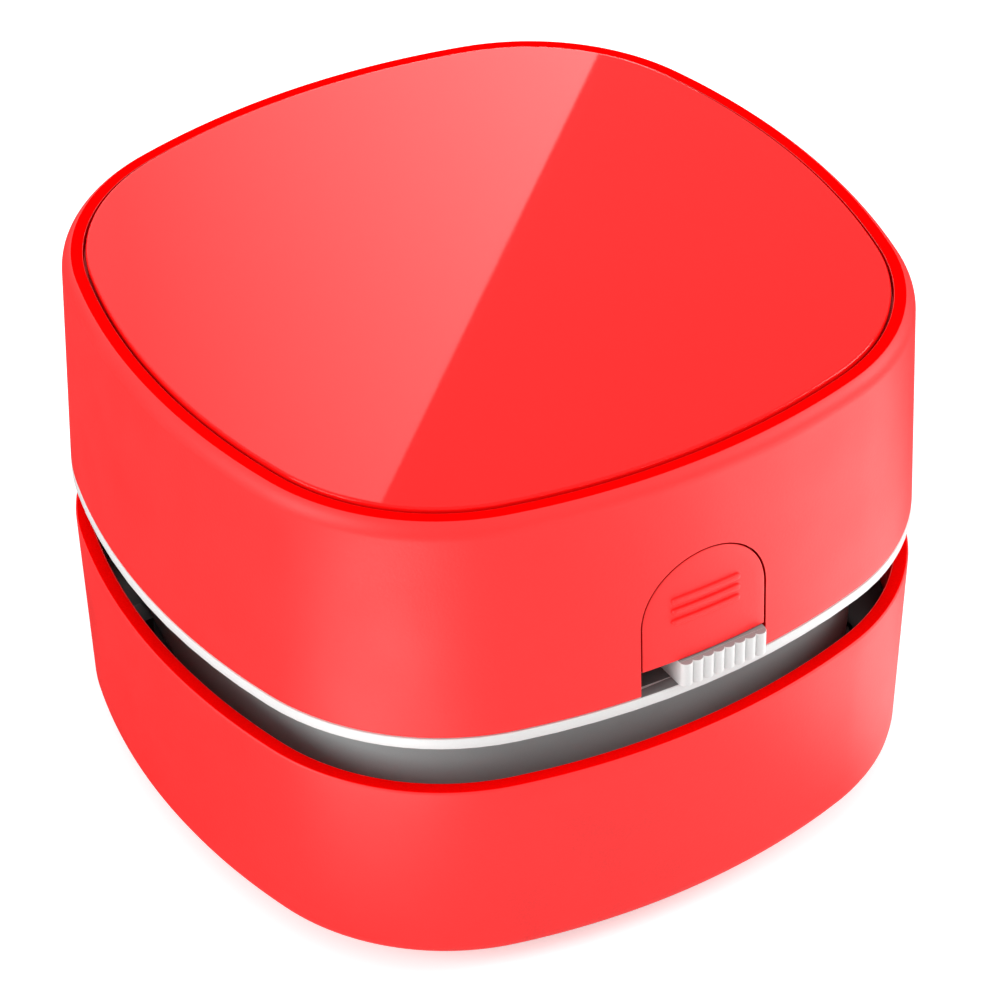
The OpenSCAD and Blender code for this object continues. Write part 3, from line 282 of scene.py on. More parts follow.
LOFT = loft_tree()
ROUND = {"Side radius": 0.0, "Side centre": 0.0, "Corner radius": 0.0, "Corner centre": 0.0}
print("side arcs turn", round(math.degrees(TURN) * 2, 2), "degrees each")

# %% [markdown]
# Moulded corners are never sharp, and a small radius is what catches a line of light. Profiles are
# written as a few corners with a radius each, and one function puts the arcs in. A long wall also
# gets rows on the way up, so that a later cut through it leaves small, well-shaped faces.

# %% Profiles with rounded corners
ARC_STEPS = 6


def rounded(corners, step=None, closed=False):
    """Corners (inset, height[, radius]) in millimetres to a smooth profile with rows every `step`."""
    points = []
    for i, corner in enumerate(corners):
        x, z, r = (*corner, 0)[:3]
        if not r:
            points.append(Vector((x, z)))
            continue
        here = Vector((x, z))
        before = Vector(corners[i - 1][:2]) - here
        after = Vector(corners[(i + 1) % len(corners)][:2]) - here
        half = before.angle(after) / 2
        reach = r / math.tan(half)
        centre = here + (before.normalized() + after.normalized()).normalized() * r / math.sin(half)
        start = here + before.normalized() * reach - centre
        count = max(3, int(ARC_STEPS * (math.pi - 2 * half) / math.pi * 2))
        swing = (math.pi - 2 * half) * (1 if before.cross(after) < 0 else -1)
        for k in range(count + 1):
            cos, sin = math.cos(swing * k / count), math.sin(swing * k / count)
            points.append(centre + Vector((start.x * cos - start.y * sin,
                                           start.x * sin + start.y * cos)))
    if step:
        filled = [] if closed else [points[-1]]
        for a, b in reversed(list(zip(points, points[1:] + points[:closed]))):
            pieces = max(1, int((b - a).length / step))
            filled = [a.lerp(b, k / pieces) for k in range(pieces)] + filled
        points = filled
    return points


def edited(mesh, change):
    """Put a mesh through one change of its points, edges and faces."""
    shape = bmesh.new()
    shape.from_mesh(mesh)
    change(shape)
    shape.to_mesh(mesh)
    shape.free()


def outwards(mesh):
    """Turn a closed mesh so that its faces point out of the material."""
    def turn(shape):
        bmesh.ops.recalc_face_normals(shape, faces=shape.faces)
        if shape.calc_volume(signed=True) < 0:
            bmesh.ops.reverse_faces(shape, faces=shape.faces)
    edited(mesh, turn)


MOST_BENT, ROUNDS = 0.6, 4


def smooth(piece, degrees=30):
    """Smooth shading, with edges sharper than this left crisp. A flat face that its rounded edges
    would shade as if it were turned away keeps its own direction."""
    mesh = piece.data
    mesh.shade_smooth()
    mesh.set_sharp_from_angle(angle=math.radians(degrees))
    for _ in range(ROUNDS):
        shown = [corner.vector.copy() for corner in mesh.corner_normals]
        turned_away = [face for face in mesh.polygons
                       if min(shown[i].dot(face.normal) for i in face.loop_indices) < MOST_BENT]
        for face in turned_away:
            for i in face.loop_indices:
                mesh.edges[mesh.loops[i].edge_index].use_edge_sharp = True
        if not turned_away:
            break
    return piece


def loft(name, points, material, solid=True, steps=480, **sizes):
    """Sweep a profile (inset, height) round the outline. A solid one closes on the axis at both
    ends; otherwise the profile is itself closed, as a ring's is."""
    seed = [(p[0] * MM, 1.0, p[1] * MM) for p in points]
    if solid:
        seed = [(0, 0, seed[0][2])] + seed + [(0, 0, seed[-1][2])]
    else:
        seed.append(seed[0])
    piece = grow(name, seed, LOFT, material, Steps=steps, **sizes)
    outwards(piece.data)
    return smooth(piece)


def turned(name, points, material, solid=True, steps=96, at=(0, 0, 0), about=None):
    """The same loft for a round piece: profile (radius, height), moved to its place."""
    points = [(-p[0], p[1]) for p in points]
    piece = loft(name, points, material, solid, steps, **ROUND)
    if about:
        piece.data.transform(about)
    piece.data.transform(Matrix.Translation(Vector(at) * MM))
    return piece


def joined(name, pieces):
    """Several plain objects as one, keeping their materials."""
    with bpy.context.temp_override(active_object=pieces[0], selected_editable_objects=pieces):
        bpy.ops.object.join()
    pieces[0].name = pieces[0].data.name = name
    return pieces[0]


def cut(piece, tool, operation="DIFFERENCE"):
    """Boolean of two plain objects, kept as a plain mesh."""
    modifier = piece.modifiers.new("cut", "BOOLEAN")
    modifier.operation, modifier.object, modifier.solver = operation, tool, "EXACT"
    name = piece.name
    piece.name = name + "_uncut"
    result = evaluated(piece, name)
    bpy.data.objects.remove(tool)
    return result


def weld(shape):
    """Merge points that lie together, and drop the faces that this closes up."""
    bmesh.ops.remove_doubles(shape, verts=shape.verts, dist=SAME_POINT / 2)
    bmesh.ops.dissolve_degenerate(shape, edges=shape.edges, dist=SAME_POINT / 2)


def mesh_piece(name, points, faces, material, change=None):
    """A plain object from millimetre points, put through a change where one is given."""
    mesh = bpy.data.meshes.new(name)
    mesh.from_pydata([Vector(p) * MM for p in points], [], faces)
    mesh.materials.append(material)
    if change:
        edited(mesh, change)
    outwards(mesh)
    return smooth(plain_object(name, mesh))


def around(n, rows):
    """Faces between rings of n points each that follow one another."""
    return [(row * n + i, row * n + (i + 1) % n, row * n + n + (i + 1) % n, row * n + n + i)
            for row in range(rows - 1) for i in range(n)]


def ends(n, rows):
    """The faces that close such rings at both ends."""
    last = (rows - 1) * n
    return [tuple(range(n)), tuple(range(last + n - 1, last - 1, -1))]

print("profiles, lofts and cuts are ready")

# %% [markdown]
# Every plastic here is moulded in a tool whose walls were spark-eroded, which leaves a fine leathery
# grain of a few tenths of a millimetre. A flat colour would look like paper, so each plastic gets a
# faint mottle in its colour, the grain as bump, and a roughness that drifts a little. The plate's
# tool was polished, so its grain is almost nothing. All patterns read Object coordinates, because
# every piece keeps its place in its mesh.

# %% Moulded plastics
def new_material(name):
    """An empty material, its tree, and the place on the piece that patterns read."""
    made = bpy.data.materials.new(name)
    made.use_nodes = True
    made.node_tree.nodes.clear()
    tree = Tree(made.node_tree)
    return made, tree, tree.node("ShaderNodeTexCoord")["Object"]


def noise(tree, where, size, detail=2.0, stretch=None):
    """Noise with lumps about `size` millimetres across, longer along an axis where stretched."""
    if stretch:
        where = tree.node("ShaderNodeMapping", None, {"Vector": where, "Scale": stretch})
    return tree.node("ShaderNodeTexNoise", None,
                     {"Vector": where, "Scale": 1 / (size * MM), "Detail": detail})


def shaded(tree, colour, roughness, height=None, depth=0.0, **fixed):
    """End a material: Principled shader, with the height field as bump of `depth` millimetres.
    `fixed` holds other sockets, with _ for a space in a name."""
    sockets = {"Base Color": colour, "Roughness": roughness}
    if height is not None:
        sockets["Normal"] = tree.node("ShaderNodeBump", None, {
            "Strength": 1.0, "Distance": depth * MM, "Height": height})
    sockets.update({key.replace("_", " "): value for key, value in fixed.items()})
    shader = tree.node("ShaderNodeBsdfPrincipled", None, sockets)
    tree.node("ShaderNodeOutputMaterial", None, {"Surface": shader})


def moulded(name, colour, rough, grain=0.22, depth=0.012, mottle=0.06, drift=0.08, **fixed):
    """Moulded plastic with a spark-eroded grain; its roughness drifts by `drift` in all."""
    made, tree, where = new_material(name)
    cloud = noise(tree, where, 7, 3.0)
    fine = noise(tree, where, grain, 3.0)
    cells = tree.node("ShaderNodeTexVoronoi", {"feature": "SMOOTH_F1"},
                      {"Vector": where, "Scale": 1 / (grain * 1.5 * MM), "Smoothness": 0.6})
    dark = tuple(c * (1 - mottle * 2) for c in colour)
    share = cloud * 0.5 + fine * 0.5
    shaded(tree, tree.blend(share.ramp(0.3, 0.7), dark, colour), cloud * drift + (rough - drift / 2),
           fine * 0.6 + cells * 0.6, depth, **fixed)
    return made


RED = (0.985, 0.012, 0.012)
red_satin = moulded("red satin plastic", RED, 0.5)
red_rim = moulded("red trimmed edge", (0.985, 0.0008, 0.0008), 0.6, depth=0.004, Specular_IOR_Level=0.0)
red_gloss = moulded("red gloss plastic", (0.94, 0.004, 0.004), 0.02, grain=1.6, depth=0.0001,
                    mottle=0.01, drift=0.01, Specular_IOR_Level=0.19)
# Painted shade: the same red, darkened on faces that look into a gap.
red_gap_painted_shade = moulded("red in the gaps", (0.42, 0.001, 0.001), 0.7, depth=0.004, Specular_IOR_Level=0.0)
white_plastic = moulded("white plastic", (0.7, 0.7, 0.695), 0.42, depth=0.006, mottle=0.02)
# Painted shade: a grey for the knob's top, standing for the shade under the tab.
knob_top_painted_shade = moulded("grey face of the knob", (0.3, 0.3, 0.3), 0.45, depth=0.006, mottle=0.02)
# Painted shade: the fan housing is white plastic, greyed for its shade inside the waist, with a cool
# tint that offsets the red light bounced onto it.
housing_grey_painted_shade = moulded("grey plastic", (0.35, 0.4, 0.4), 0.45, depth=0.006, mottle=0.02)
black_plastic = moulded("black plastic", (0.011, 0.011, 0.012), 0.5, depth=0.012)
cream_plastic = moulded("cream plastic", (0.72, 0.68, 0.58), 0.45, depth=0.006, mottle=0.04)
rubber = moulded("seal rubber", (0.02, 0.02, 0.021), 0.75, grain=0.35, depth=0.02)
print("plastics are ready, from", red_satin.name, "to", rubber.name)

# %% [markdown]
# Metals differ by how they were worked: the motor can is drawn and plated, springs and wires are
# drawn lengthwise, laminations are a stack of stamped sheets. Stretching the noise along the working
# direction says which. The foam, the bristles and the cells get their own short recipes.

# %% Metals and the rest
def worked(name, colour, rough, stretch=(1, 1, 14), size=0.5, depth=0.003, height=None):
    """Metal with faint marks along its working direction."""
    made, tree, where = new_material(name)
    marks = noise(tree, where, size, 3.0, stretch)
    cloud = noise(tree, where, 5, 2.0)
    dark = tuple(c * 0.86 for c in colour)
    shaded(tree, tree.blend(cloud, dark, colour), marks * 0.16 + (rough - 0.08),
           marks if height is None else height(tree, where), depth, Metallic=1.0)
    return made


def laminated(tree, where):
    """Stamped sheets half a millimetre thick; the height goes from 0 to 1 across each half."""
    half = 0.25 * MM
    rise = tree.node("ShaderNodeSeparateXYZ", None, [where])["Z"]
    return rise.maths("PINGPONG", half) * (1 / half)


steel = worked("plated steel", (0.62, 0.62, 0.63), 0.3)
black_steel = worked("blackened steel", (0.045, 0.045, 0.047), 0.4)
spring_steel = worked("spring steel", (0.5, 0.5, 0.52), 0.26, (1, 1, 1), 0.3)
brass = worked("brass", (0.72, 0.5, 0.2), 0.3, (1, 1, 1))
copper = worked("enamelled copper", (0.70, 0.24, 0.09), 0.32, (12, 12, 1), 0.25, 0.02)
core_iron = worked("stacked core iron", (0.3, 0.3, 0.31), 0.42, height=laminated, depth=0.04)
ferrite = moulded("ferrite", (0.035, 0.035, 0.038), 0.55, grain=0.5, depth=0.01)
lead_red = moulded("red wire sleeve", (0.55, 0.012, 0.01), 0.4, grain=0.6, depth=0.006)
lead_black = moulded("black wire sleeve", (0.012, 0.012, 0.013), 0.4, grain=0.6, depth=0.006)


def open_foam():
    made, tree, where = new_material("filter foam")
    pores = tree.node("ShaderNodeTexVoronoi", None, {"Vector": where, "Scale": 1 / (0.9 * MM)})
    wall = pores.ramp(0.15, 0.55)
    # The middles of the pores are painted darker: painted shade in the holes.
    shaded(tree, tree.blend(wall, (0.02, 0.02, 0.021), (0.09, 0.09, 0.095)), 0.95, wall, 0.35)
    return made


def bristle_nylon():
    made, tree, where = new_material("bristle nylon")
    tone = noise(tree, where, 1.1, 1.0)
    shaded(tree, tree.blend(tone.ramp(0.35, 0.65), (0.5, 0.5, 0.49), (0.82, 0.82, 0.8)),
           tone * 0.2 + 0.3)
    return made


def cell_jacket():
    """A plain cell: bare rims at both ends, a pale jacket and one darker band."""
    made, tree, where = new_material("cell jacket")
    along = abs(tree.node("ShaderNodeSeparateXYZ", None, [where])["X"])
    band = along.ramp(17.2 * MM, 17.3 * MM)
    rim = along.ramp(23.55 * MM, 23.65 * MM)
    print_tone = noise(tree, where, 0.4, 2.0)
    jacket = tree.blend(band, (0.30, 0.36, 0.40), (0.045, 0.09, 0.13))
    shaded(tree, tree.blend(rim, jacket, (0.6, 0.6, 0.61)), print_tone * 0.08 + 0.22,
           print_tone, 0.004, Metallic=rim)
    return made


foam, nylon, jacket = open_foam(), bristle_nylon(), cell_jacket()
print("materials in all:", len([m for m in bpy.data.materials if m.use_nodes]))

# %% [markdown]
# The top shell is one moulded skin: a drafted wall, a rolled edge, a flat rim and a shallow recess
# for the plate. Its section goes into the loft tree. The arched opening for the tab and the notch
# for the switch are one cut through the finished wall, as a tool's core would leave them.
# The rim is a separate finish: its flat band reflects nothing of the room.

# %% Top shell
DECK, RIM, TOP, RIM_TOP, PLATE = 33.8, 26.5, 60.8, 60.45, 59.4
DRAFT, DRAFT_RISE = 0.85, 27
WALL, FOOT, ROOF, ROLL_R, RECESS_IN = 1.6, 33.9, 57.2, 2.3, 3.2
ARCH_W, ARCH_TOP, CUT_FROM, CUT_TO = 15.4, 50.1, -44, -38.4
BOSS_X, BOSS_Y, BOSS_Z, BOSS_LONG = 12.5, -35.93, 46.0, 4.4


def upper_off(z):
    """Inset of the upper housing's face at a height: its draft over its rise from the deck."""
    return DRAFT * (z - DECK) / DRAFT_RISE


def side_at(x, off):
    """Distance of a side's face from the middle plane, at x along that side."""
    return math.sqrt((SIDE_R - off) ** 2 - x * x) - SIDE_C


def arc(x, z, r, start, end, count=12):
    """Points of an arc about (x, z), angles in degrees."""
    turns = [math.radians(start + (end - start) * k / count) for k in range(count + 1)]
    return [(x + r * math.cos(a), z + r * math.sin(a)) for a in turns]


def arch(width, low, high, grow=0.0, steps=48, legs=8):
    """Arched outline (x, z), base first; every call gives the same number of points."""
    half, base, centre = width / 2 + grow, low - grow, high - width / 2
    turns = [math.pi * k / steps for k in range(steps + 1)]
    rows = [(-half * math.cos(t), base) for t in turns]
    rows += [(half, base + (centre - base) * k / legs) for k in range(1, legs)]
    rows += [(half * math.cos(t), centre + half * math.sin(t)) for t in turns]
    rows += [(-half, centre + (base - centre) * k / legs) for k in range(1, legs)]
    return rows


def prism(name, outline, near, far, material):
    """An (x, z) outline as a solid from y = near to y = far."""
    n = len(outline)
    points = [(x, y, z) for y in (near, far) for x, z in outline]
    return mesh_piece(name, points, ends(n, 2) + around(n, 2), material)


def finish_faces(piece, finish, chosen):
    """Give the faces for which chosen(middle in mm, direction) holds their own material."""
    piece.data.materials.append(finish)
    last = len(piece.data.materials) - 1
    for face in piece.data.polygons:
        if chosen(face.center / MM, face.normal):
            face.material_index = last


def inwards(at, facing):
    """Whether a face looks towards the axis."""
    return facing.x * at.x + facing.y * at.y < -0.5 * at.xy.length


roll_z = TOP - ROLL_R
roll_turn = math.degrees(math.asin((RIM_TOP - roll_z) / ROLL_R))
rolled = [(upper_off(roll_z) + ROLL_R - x, z) for x, z in arc(0, roll_z, ROLL_R, 0, roll_turn, 14)]
section = rounded([(3.8, ROOF + 1), (upper_off(ROOF) + WALL, ROOF, 0.8),
                   (upper_off(FOOT) + WALL, FOOT, 0.2), (upper_off(FOOT), FOOT, 0.25),
                   *rolled[:-1], (*rolled[-1], 0.12),
                   (RECESS_IN, RIM_TOP, 0.15), (RECESS_IN, PLATE)], step=1.2)
top_shell = loft("top_shell_skin", section, red_satin)
opening = prism("opening", arch(ARCH_W, DECK - 1, ARCH_TOP), CUT_FROM, CUT_TO, red_satin)
top_shell = smooth(cut(top_shell, opening))
lie = Matrix.Rotation(math.pi / 2, 4, "X")
bosses = [turned("boss", [(0.85, 0), (2.2, 0), (2.2, BOSS_LONG), (0.85, BOSS_LONG)], red_satin,
                 False, 48, (x, BOSS_Y, BOSS_Z), lie) for x in (-BOSS_X, BOSS_X)]
top_shell = joined("top_shell_skin", [top_shell, *bosses])
finish_faces(top_shell, red_rim,
             lambda at, facing: facing.z > 0.9 and abs(at.z - RIM_TOP) < 0.06)
# The wall round the plate and the sides of the opening get the painted shade of their gaps.
finish_faces(top_shell, red_gap_painted_shade, lambda at, facing: (inwards(at, facing) and at.z > PLATE) or (
    abs(facing.y) < 0.4 and abs(at.x) < ARCH_W / 2 + 0.05 and at.z < ARCH_TOP + 0.1 and at.y < -39.5))
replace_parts(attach(top_shell, "top_cover"), "top_shell")
print("top shell:", len(top_shell.data.polygons), "faces; rolled edge turns",
      round(roll_turn, 1), "degrees")

# %% [markdown]
# The plate is a separate glossier moulding that drops into the recess and stands a hair proud of
# the rim. Its edge has a small radius, and a row of points close inside that radius keeps the smooth
# shading of the edge from bending the flat face's reflections. Four pegs hold it through the roof.

# %% Top plate
PLATE_IN, PEG_R, PEG_LOW, PEG_AT = 3.45, 1.2, 57.8, 24
plate_section = rounded([(PLATE_IN, PLATE + 0.02), (PLATE_IN, TOP, 0.28), (3.78, TOP), (9, TOP)])
top_plate = loft("top_plate_skin", plate_section, red_gloss)
peg_section = rounded([(0.4, PEG_LOW), (PEG_R, PEG_LOW, 0.2), (PEG_R, PLATE + 0.3)])
pegs = [turned("peg", peg_section, red_gloss, True, 32, (x, y, 0))
        for x in (-PEG_AT, PEG_AT) for y in (-PEG_AT, PEG_AT)]
top_plate = joined("top_plate_skin", [top_plate, *pegs])
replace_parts(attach(top_plate, "top_cover"), "top_plate")
print("top plate stands", round(TOP - RIM_TOP, 2), "mm proud of the rim")

# %% [markdown]
# The lower shell is the dust bin: the same outline with its draft the other way, a flat rim, a
# filleted base and a round seat for the nozzle. A lip thickens its rim. Inside stand four posts for
# the bin deck's screws, each tied to its corner by a web. Loft first, then cut the stepped seat,
# then add the posts.

# %% Lower shell
POST_R, POST_LOW, POST_TOP, WEB_TOP, WEB_END = 3.2, 4.2, 14.8, 13.8, 45.2
lower_section = rounded([(12, 2.5), (0.733, 2.5, 2.0), (0, RIM, 0.3), (1.7, RIM, 0.25),
                         (1.7, 24.4, 0.3), (1.5, 23.8, 0.3), (2.127, 4.7, 1.2), (12, 4.7)], step=2)
lower_shell = loft("lower_shell_skin", lower_section, red_satin)
seat = turned("seat", [(28.15, 1), (28.15, 3.6), (24.15, 3.6), (24.15, 6)], red_satin, steps=240)
lower_shell = smooth(cut(lower_shell, seat))
post_at = CORNER_C + (CORNER_R - 1.79 - POST_R - 2.6) / math.sqrt(2)
post_out = post_at * math.sqrt(2)
post_section = rounded([(1.0, POST_LOW), (POST_R, POST_LOW), (POST_R, POST_TOP, 0.2),
                        (1.0, POST_TOP)], closed=True)
web_outline = [(post_out + 1, POST_LOW), (WEB_END, POST_LOW), (WEB_END, WEB_TOP),
               (post_out + 1, WEB_TOP)]
posts = []
for quarter in range(4):
    angle = math.pi / 4 + quarter * math.pi / 2
    spot = (post_out * math.cos(angle), post_out * math.sin(angle), 0)
    posts.append(turned("post", post_section, red_satin, False, 48, spot))
    web = prism("web", web_outline, -0.6, 0.6, red_satin)
    web.data.transform(Matrix.Rotation(angle, 4, "Z"))
    posts.append(web)
lower_shell = joined("lower_shell_skin", [lower_shell, *posts])
finish_faces(lower_shell, red_rim, lambda at, facing: at.z > RIM - 8 and (
    inwards(at, facing) or (facing.z > 0.9 and at.z > RIM - 0.06)))
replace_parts(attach(lower_shell, "base_unit"), "lower_shell")
print("posts stand at", round(post_at, 2), "mm")

# %% [markdown]
# The push tab fills the arch flush with the shell, 0.2 mm clear all round, with its own softened
# edge. Its face lies on the same drafted curve as the wall. It is built as rings of the arched
# outline that step in from the edge, each laid on that curve, and the innermost ring is filled in
# columns, so the surface has no fan of slivers. Behind it are the flange and latch hook, which
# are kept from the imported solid.

# %% Push tab
def laid(outline, depth):
    """Points of an (x, z) outline on the upper housing's front face, `depth` under it."""
    return [(x, -side_at(x, upper_off(z) + depth), z) for x, z in outline]


def panel(name, width, low, high, rings, material, steps=48, legs=8, rows=8):
    """An arched panel from rings (growth, depth), filled in columns at both ends."""
    points = []
    for growth, depth in rings:
        points += laid(arch(width, low, high, growth, steps, legs), depth)
    n = 2 * (steps + 1) + 2 * (legs - 1)
    faces = around(n, len(rings))
    for ring, depth in ((0, rings[0][1]), (len(rings) - 1, rings[-1][1])):
        columns = []
        for i in range(steps + 1):
            foot, head = ring * n + i, ring * n + steps + 1 + legs - 1 + (steps - i)
            x, z0, z1 = points[foot][0], points[foot][2], points[head][2]
            inner = laid([(x, z0 + (z1 - z0) * k / rows) for k in range(1, rows)], depth)
            columns.append([foot, *range(len(points), len(points) + rows - 1), head])
            points += inner
        for left, right in zip(columns, columns[1:]):
            for k in range(rows):
                faces.append((left[k], right[k], right[k + 1], left[k + 1]))
    return mesh_piece(name, points, faces, material, weld)


TAB_W, TAB_LOW, TAB_TOP, TAB_THICK, TAB_EDGE = 15, 37.03, 49.9, 1.9, 0.14
bends = [math.radians(18 * k) for k in range(6)]
edge = [(-TAB_EDGE * (1 - math.cos(a)), TAB_EDGE * (1 - math.sin(a))) for a in bends]
rings = [*[(-g, TAB_THICK) for g in (5.2, 2.6, 0)], *edge,
         *[(-g, 0) for g in (1.2, 2.2, 3.2, 4.2, 5.2)]]
tab_face = panel("tab_face", TAB_W, TAB_LOW, TAB_TOP, rings, red_satin)
# The tab's sides and top edge, in the gap, get painted shade.
finish_faces(tab_face, red_gap_painted_shade, lambda at, facing: abs(facing.y) < 0.3 and facing.z > -0.7)
print("tab face:", len(tab_face.data.polygons), "faces")

# %% [markdown]
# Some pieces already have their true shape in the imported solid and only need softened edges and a
# finish. A copy of the node's loose triangles is merged. Where its edges are to be rounded, its flat
# areas are dissolved into whole faces, and a small bevel takes the sharpness off, as a tool's edge
# would. The copy stands for the node, on the node's own body.

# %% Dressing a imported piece
def node_copy(node, name=None, whole=True):
    """A merged copy of a CAD node. For rounding its edges, its flat areas are made whole first."""
    mesh = frame["nodes"][node].data.copy()
    mesh.materials.clear()

    def merge(shape):
        bmesh.ops.remove_doubles(shape, verts=shape.verts, dist=SAME_POINT)
        if whole:
            bmesh.ops.dissolve_limit(shape, angle_limit=math.radians(0.6),
                                     verts=shape.verts, edges=shape.edges)
    edited(mesh, merge)
    return plain_object(name or node + "_skin", mesh)


def soften(piece, width, degrees=38, segments=2):
    """Round the sharp edges of a plain object."""
    bevel = piece.modifiers.new("edges", "BEVEL")
    bevel.width, bevel.segments, bevel.use_clamp_overlap = width * MM, segments, True
    bevel.limit_method, bevel.angle_limit = "ANGLE", math.radians(degrees)
    name = piece.name
    piece.name = name + "_sharp"
    return smooth(evaluated(piece, name), 34)


bodies = {node: name for name, nodes in frame["record"]["behaviour"]["bodies"].items()
          for node in nodes}


def dress(node, finish, width=0.0):
    """Replace a CAD node by its softened copy in a new finish."""
    piece = node_copy(node, whole=width > 0)
    piece.data.materials.append(finish)
    piece = soften(piece, width) if width else smooth(piece)
    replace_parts(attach(piece, bodies[node]), node)

print("a packed piece can be dressed; bodies:", len(set(bodies.values())))

# %% [markdown]
# Grip bars, the knob's ridges and the blades all repeat. One tree copies a piece a number of times,
# each copy moved by a step and turned by an angle.

# %% Copies along a row or round a circle
def copies_tree():
    tree, given = geometry_tree("copies", {"Count": 4, "Step": (0.0, 0.0, 0.0), "Turn": 0.0})
    points = tree.node("GeometryNodePoints", None, {"Count": given["Count"]})
    index = tree.node("GeometryNodeInputIndex")
    place = tree.node("ShaderNodeVectorMath", {"operation": "SCALE"},
                      {0: given["Step"], "Scale": index})
    placed = tree.node("GeometryNodeSetPosition", None, {"Geometry": points, "Position": place})
    turned_by = tree.node("ShaderNodeCombineXYZ", None, {"Z": given["Turn"] * index})
    spin = tree.node("FunctionNodeEulerToRotation", None, [turned_by])
    copies = tree.node("GeometryNodeInstanceOnPoints", None,
                       {"Points": placed, "Instance": given["Geometry"], "Rotation": spin})
    return end_tree(tree, copies, given)


COPIES = copies_tree()


def copied(name, piece, material, **sizes):
    """A plain object of repeated copies of one piece."""
    mesh = piece.data
    made = grow(name, [v.co for v in mesh.vertices], COPIES, material,
                faces=[tuple(f.vertices) for f in mesh.polygons], **sizes)
    bpy.data.objects.remove(piece)
    return smooth(made)

print("one tree serves bars, ridges and blades")

# %% [markdown]
# A fingertip needs to find the tab, so three short round bars stand 0.4 mm out of it, across its
# widest part. One bar is bent round the face's curve; the others are its copies, one step up and
# back along the drafted wall.

# %% Grip bars
def bar(length, height, relief, z, material, across=28, round_steps=16):
    """A bar with round ends, lying on the front face at height z; its section is a little fuller
    than round, and it is sunk in the face by up to 0.15 mm."""
    half, points = length / 2, []
    for i in range(across + 1):
        x = -half * math.cos(math.pi * i / across)
        end = max(0.0, abs(x) - (half - height / 2)) / (height / 2)
        size = math.sqrt(max(0.0004, 1 - end * end))
        for k in range(round_steps):
            a = 2 * math.pi * k / round_steps
            up, out = (math.copysign(abs(v) ** 0.6, v) * size for v in (math.sin(a), math.cos(a)))
            up *= height / 2
            points.append((x, -side_at(x, upper_off(z + up)) - max(out * relief, -0.15), z + up))
    rings = round_steps, across + 1
    return mesh_piece("bar", points, around(*rings) + ends(*rings), material)


BARS, BAR_PITCH, BARS_Z = 3, 1.35, 43.6
first_bar = bar(8.4, 0.7, 0.4, BARS_Z - BAR_PITCH * (BARS - 1) / 2, red_satin)
bars = copied("bars", first_bar, red_satin, Count=BARS,
              Step=(0.0, DRAFT / DRAFT_RISE * BAR_PITCH * MM, BAR_PITCH * MM))
print("bars:", BARS, "every", BAR_PITCH, "mm")

# %% [markdown]
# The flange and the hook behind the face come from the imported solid. What lies deeper than 1.7 mm
# is kept, so it overlaps the 1.9 mm face a little. Face, latch and bars make one piece.

# %% Push tab with its latch
latch = node_copy("push_tab", "latch")
latch.data.materials.append(red_satin)
LATCH_FROM = 1.7
behind = loft("behind", [(upper_off(z) + LATCH_FROM, z) for z in (35, 52)], red_satin)
latch = smooth(cut(latch, behind, "INTERSECT"))
push_tab = joined("push_tab_skin", [tab_face, latch, bars])
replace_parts(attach(push_tab, "tab"), "push_tab")
print("push tab joined to its latch")

# %% [markdown]
# The knob itself: a plain block from the imported solid, with a keel for the groove in the deck, and
# eight round ridges in place of its front. Its middle lies 2 mm to the right of the middle plane,
# its "off" place. Its top is painted grey, which paints the shade that the tab casts on it.

# %% Slide switch knob
KNOB_X, KNOB_W, KNOB_LOW, KNOB_TOP, RIDGES, RIDGE_R = 2.0, 10.6, 33.9, 36.9, 8, 0.75
knob_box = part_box("switch_knob")
pitch = (KNOB_W - 2 * RIDGE_R) / (RIDGES - 1)
front = knob_box[0].y / MM + RIDGE_R
ridge = turned("ridge", rounded([(0.2, KNOB_LOW + 0.02), (RIDGE_R, KNOB_LOW + 0.02, 0.08),
                                 (RIDGE_R, KNOB_TOP - 0.02, 0.1), (0.2, KNOB_TOP - 0.02)], step=0.6),
               white_plastic, steps=48, at=(KNOB_X - KNOB_W / 2 + RIDGE_R, front, 0))
ridges = copied("ridges", ridge, white_plastic, Count=RIDGES, Step=(pitch * MM, 0.0, 0.0))
block = node_copy("switch_knob", "block")
block.data.materials.append(white_plastic)
trim = prism("trim", [(-20, 20), (20, 20), (20, 50), (-20, 50)], -60, front, white_plastic)
block = smooth(cut(block, trim))
knob = joined("switch_knob_skin", [block, ridges])
# The top faces take the painted shade of the tab above them.
finish_faces(knob, knob_top_painted_shade, lambda at, facing: facing.z > 0.8 and at.z > KNOB_TOP - 0.1)
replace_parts(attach(knob, "knob"), "switch_knob")
print("ridges every", round(pitch, 2), "mm")

# %% [markdown]
# Two thin grey sheets on the deck paint the shade in the notch round the knob, the back one darker.
# Their front one follows the deck's edge, the back one ends at the groove, and the line between
# them shows the white deck.

# %% Strips of painted shade in the notch
def strip(name, near, far, finish):
    """A thin sheet on the deck from `near` under the front edge to the line y = -far."""
    columns, half = 32, 7.62
    rows = [-half + 2 * half * i / columns for i in range(columns + 1)]
    points, faces = [], []
    for z in (DECK + 0.004, DECK + 0.045):
        points += [(x, -side_at(x, near), z) for x in rows] + [(x, -far, z) for x in rows]
    n = columns + 1
    for i in range(columns):
        faces += [(i, i + 1, i + 1 + n, i + n), (i + 2 * n, i + 3 * n, i + 1 + 3 * n, i + 1 + 2 * n),
                  (i, i + 2 * n, i + 1 + 2 * n, i + 1), (i + n, i + 1 + n, i + 1 + 3 * n, i + 3 * n)]
    faces += [(0, n, 3 * n, 2 * n), (n - 1, 3 * n - 1, 4 * n - 1, 2 * n - 1)]
    return mesh_piece(name, points, faces, finish)


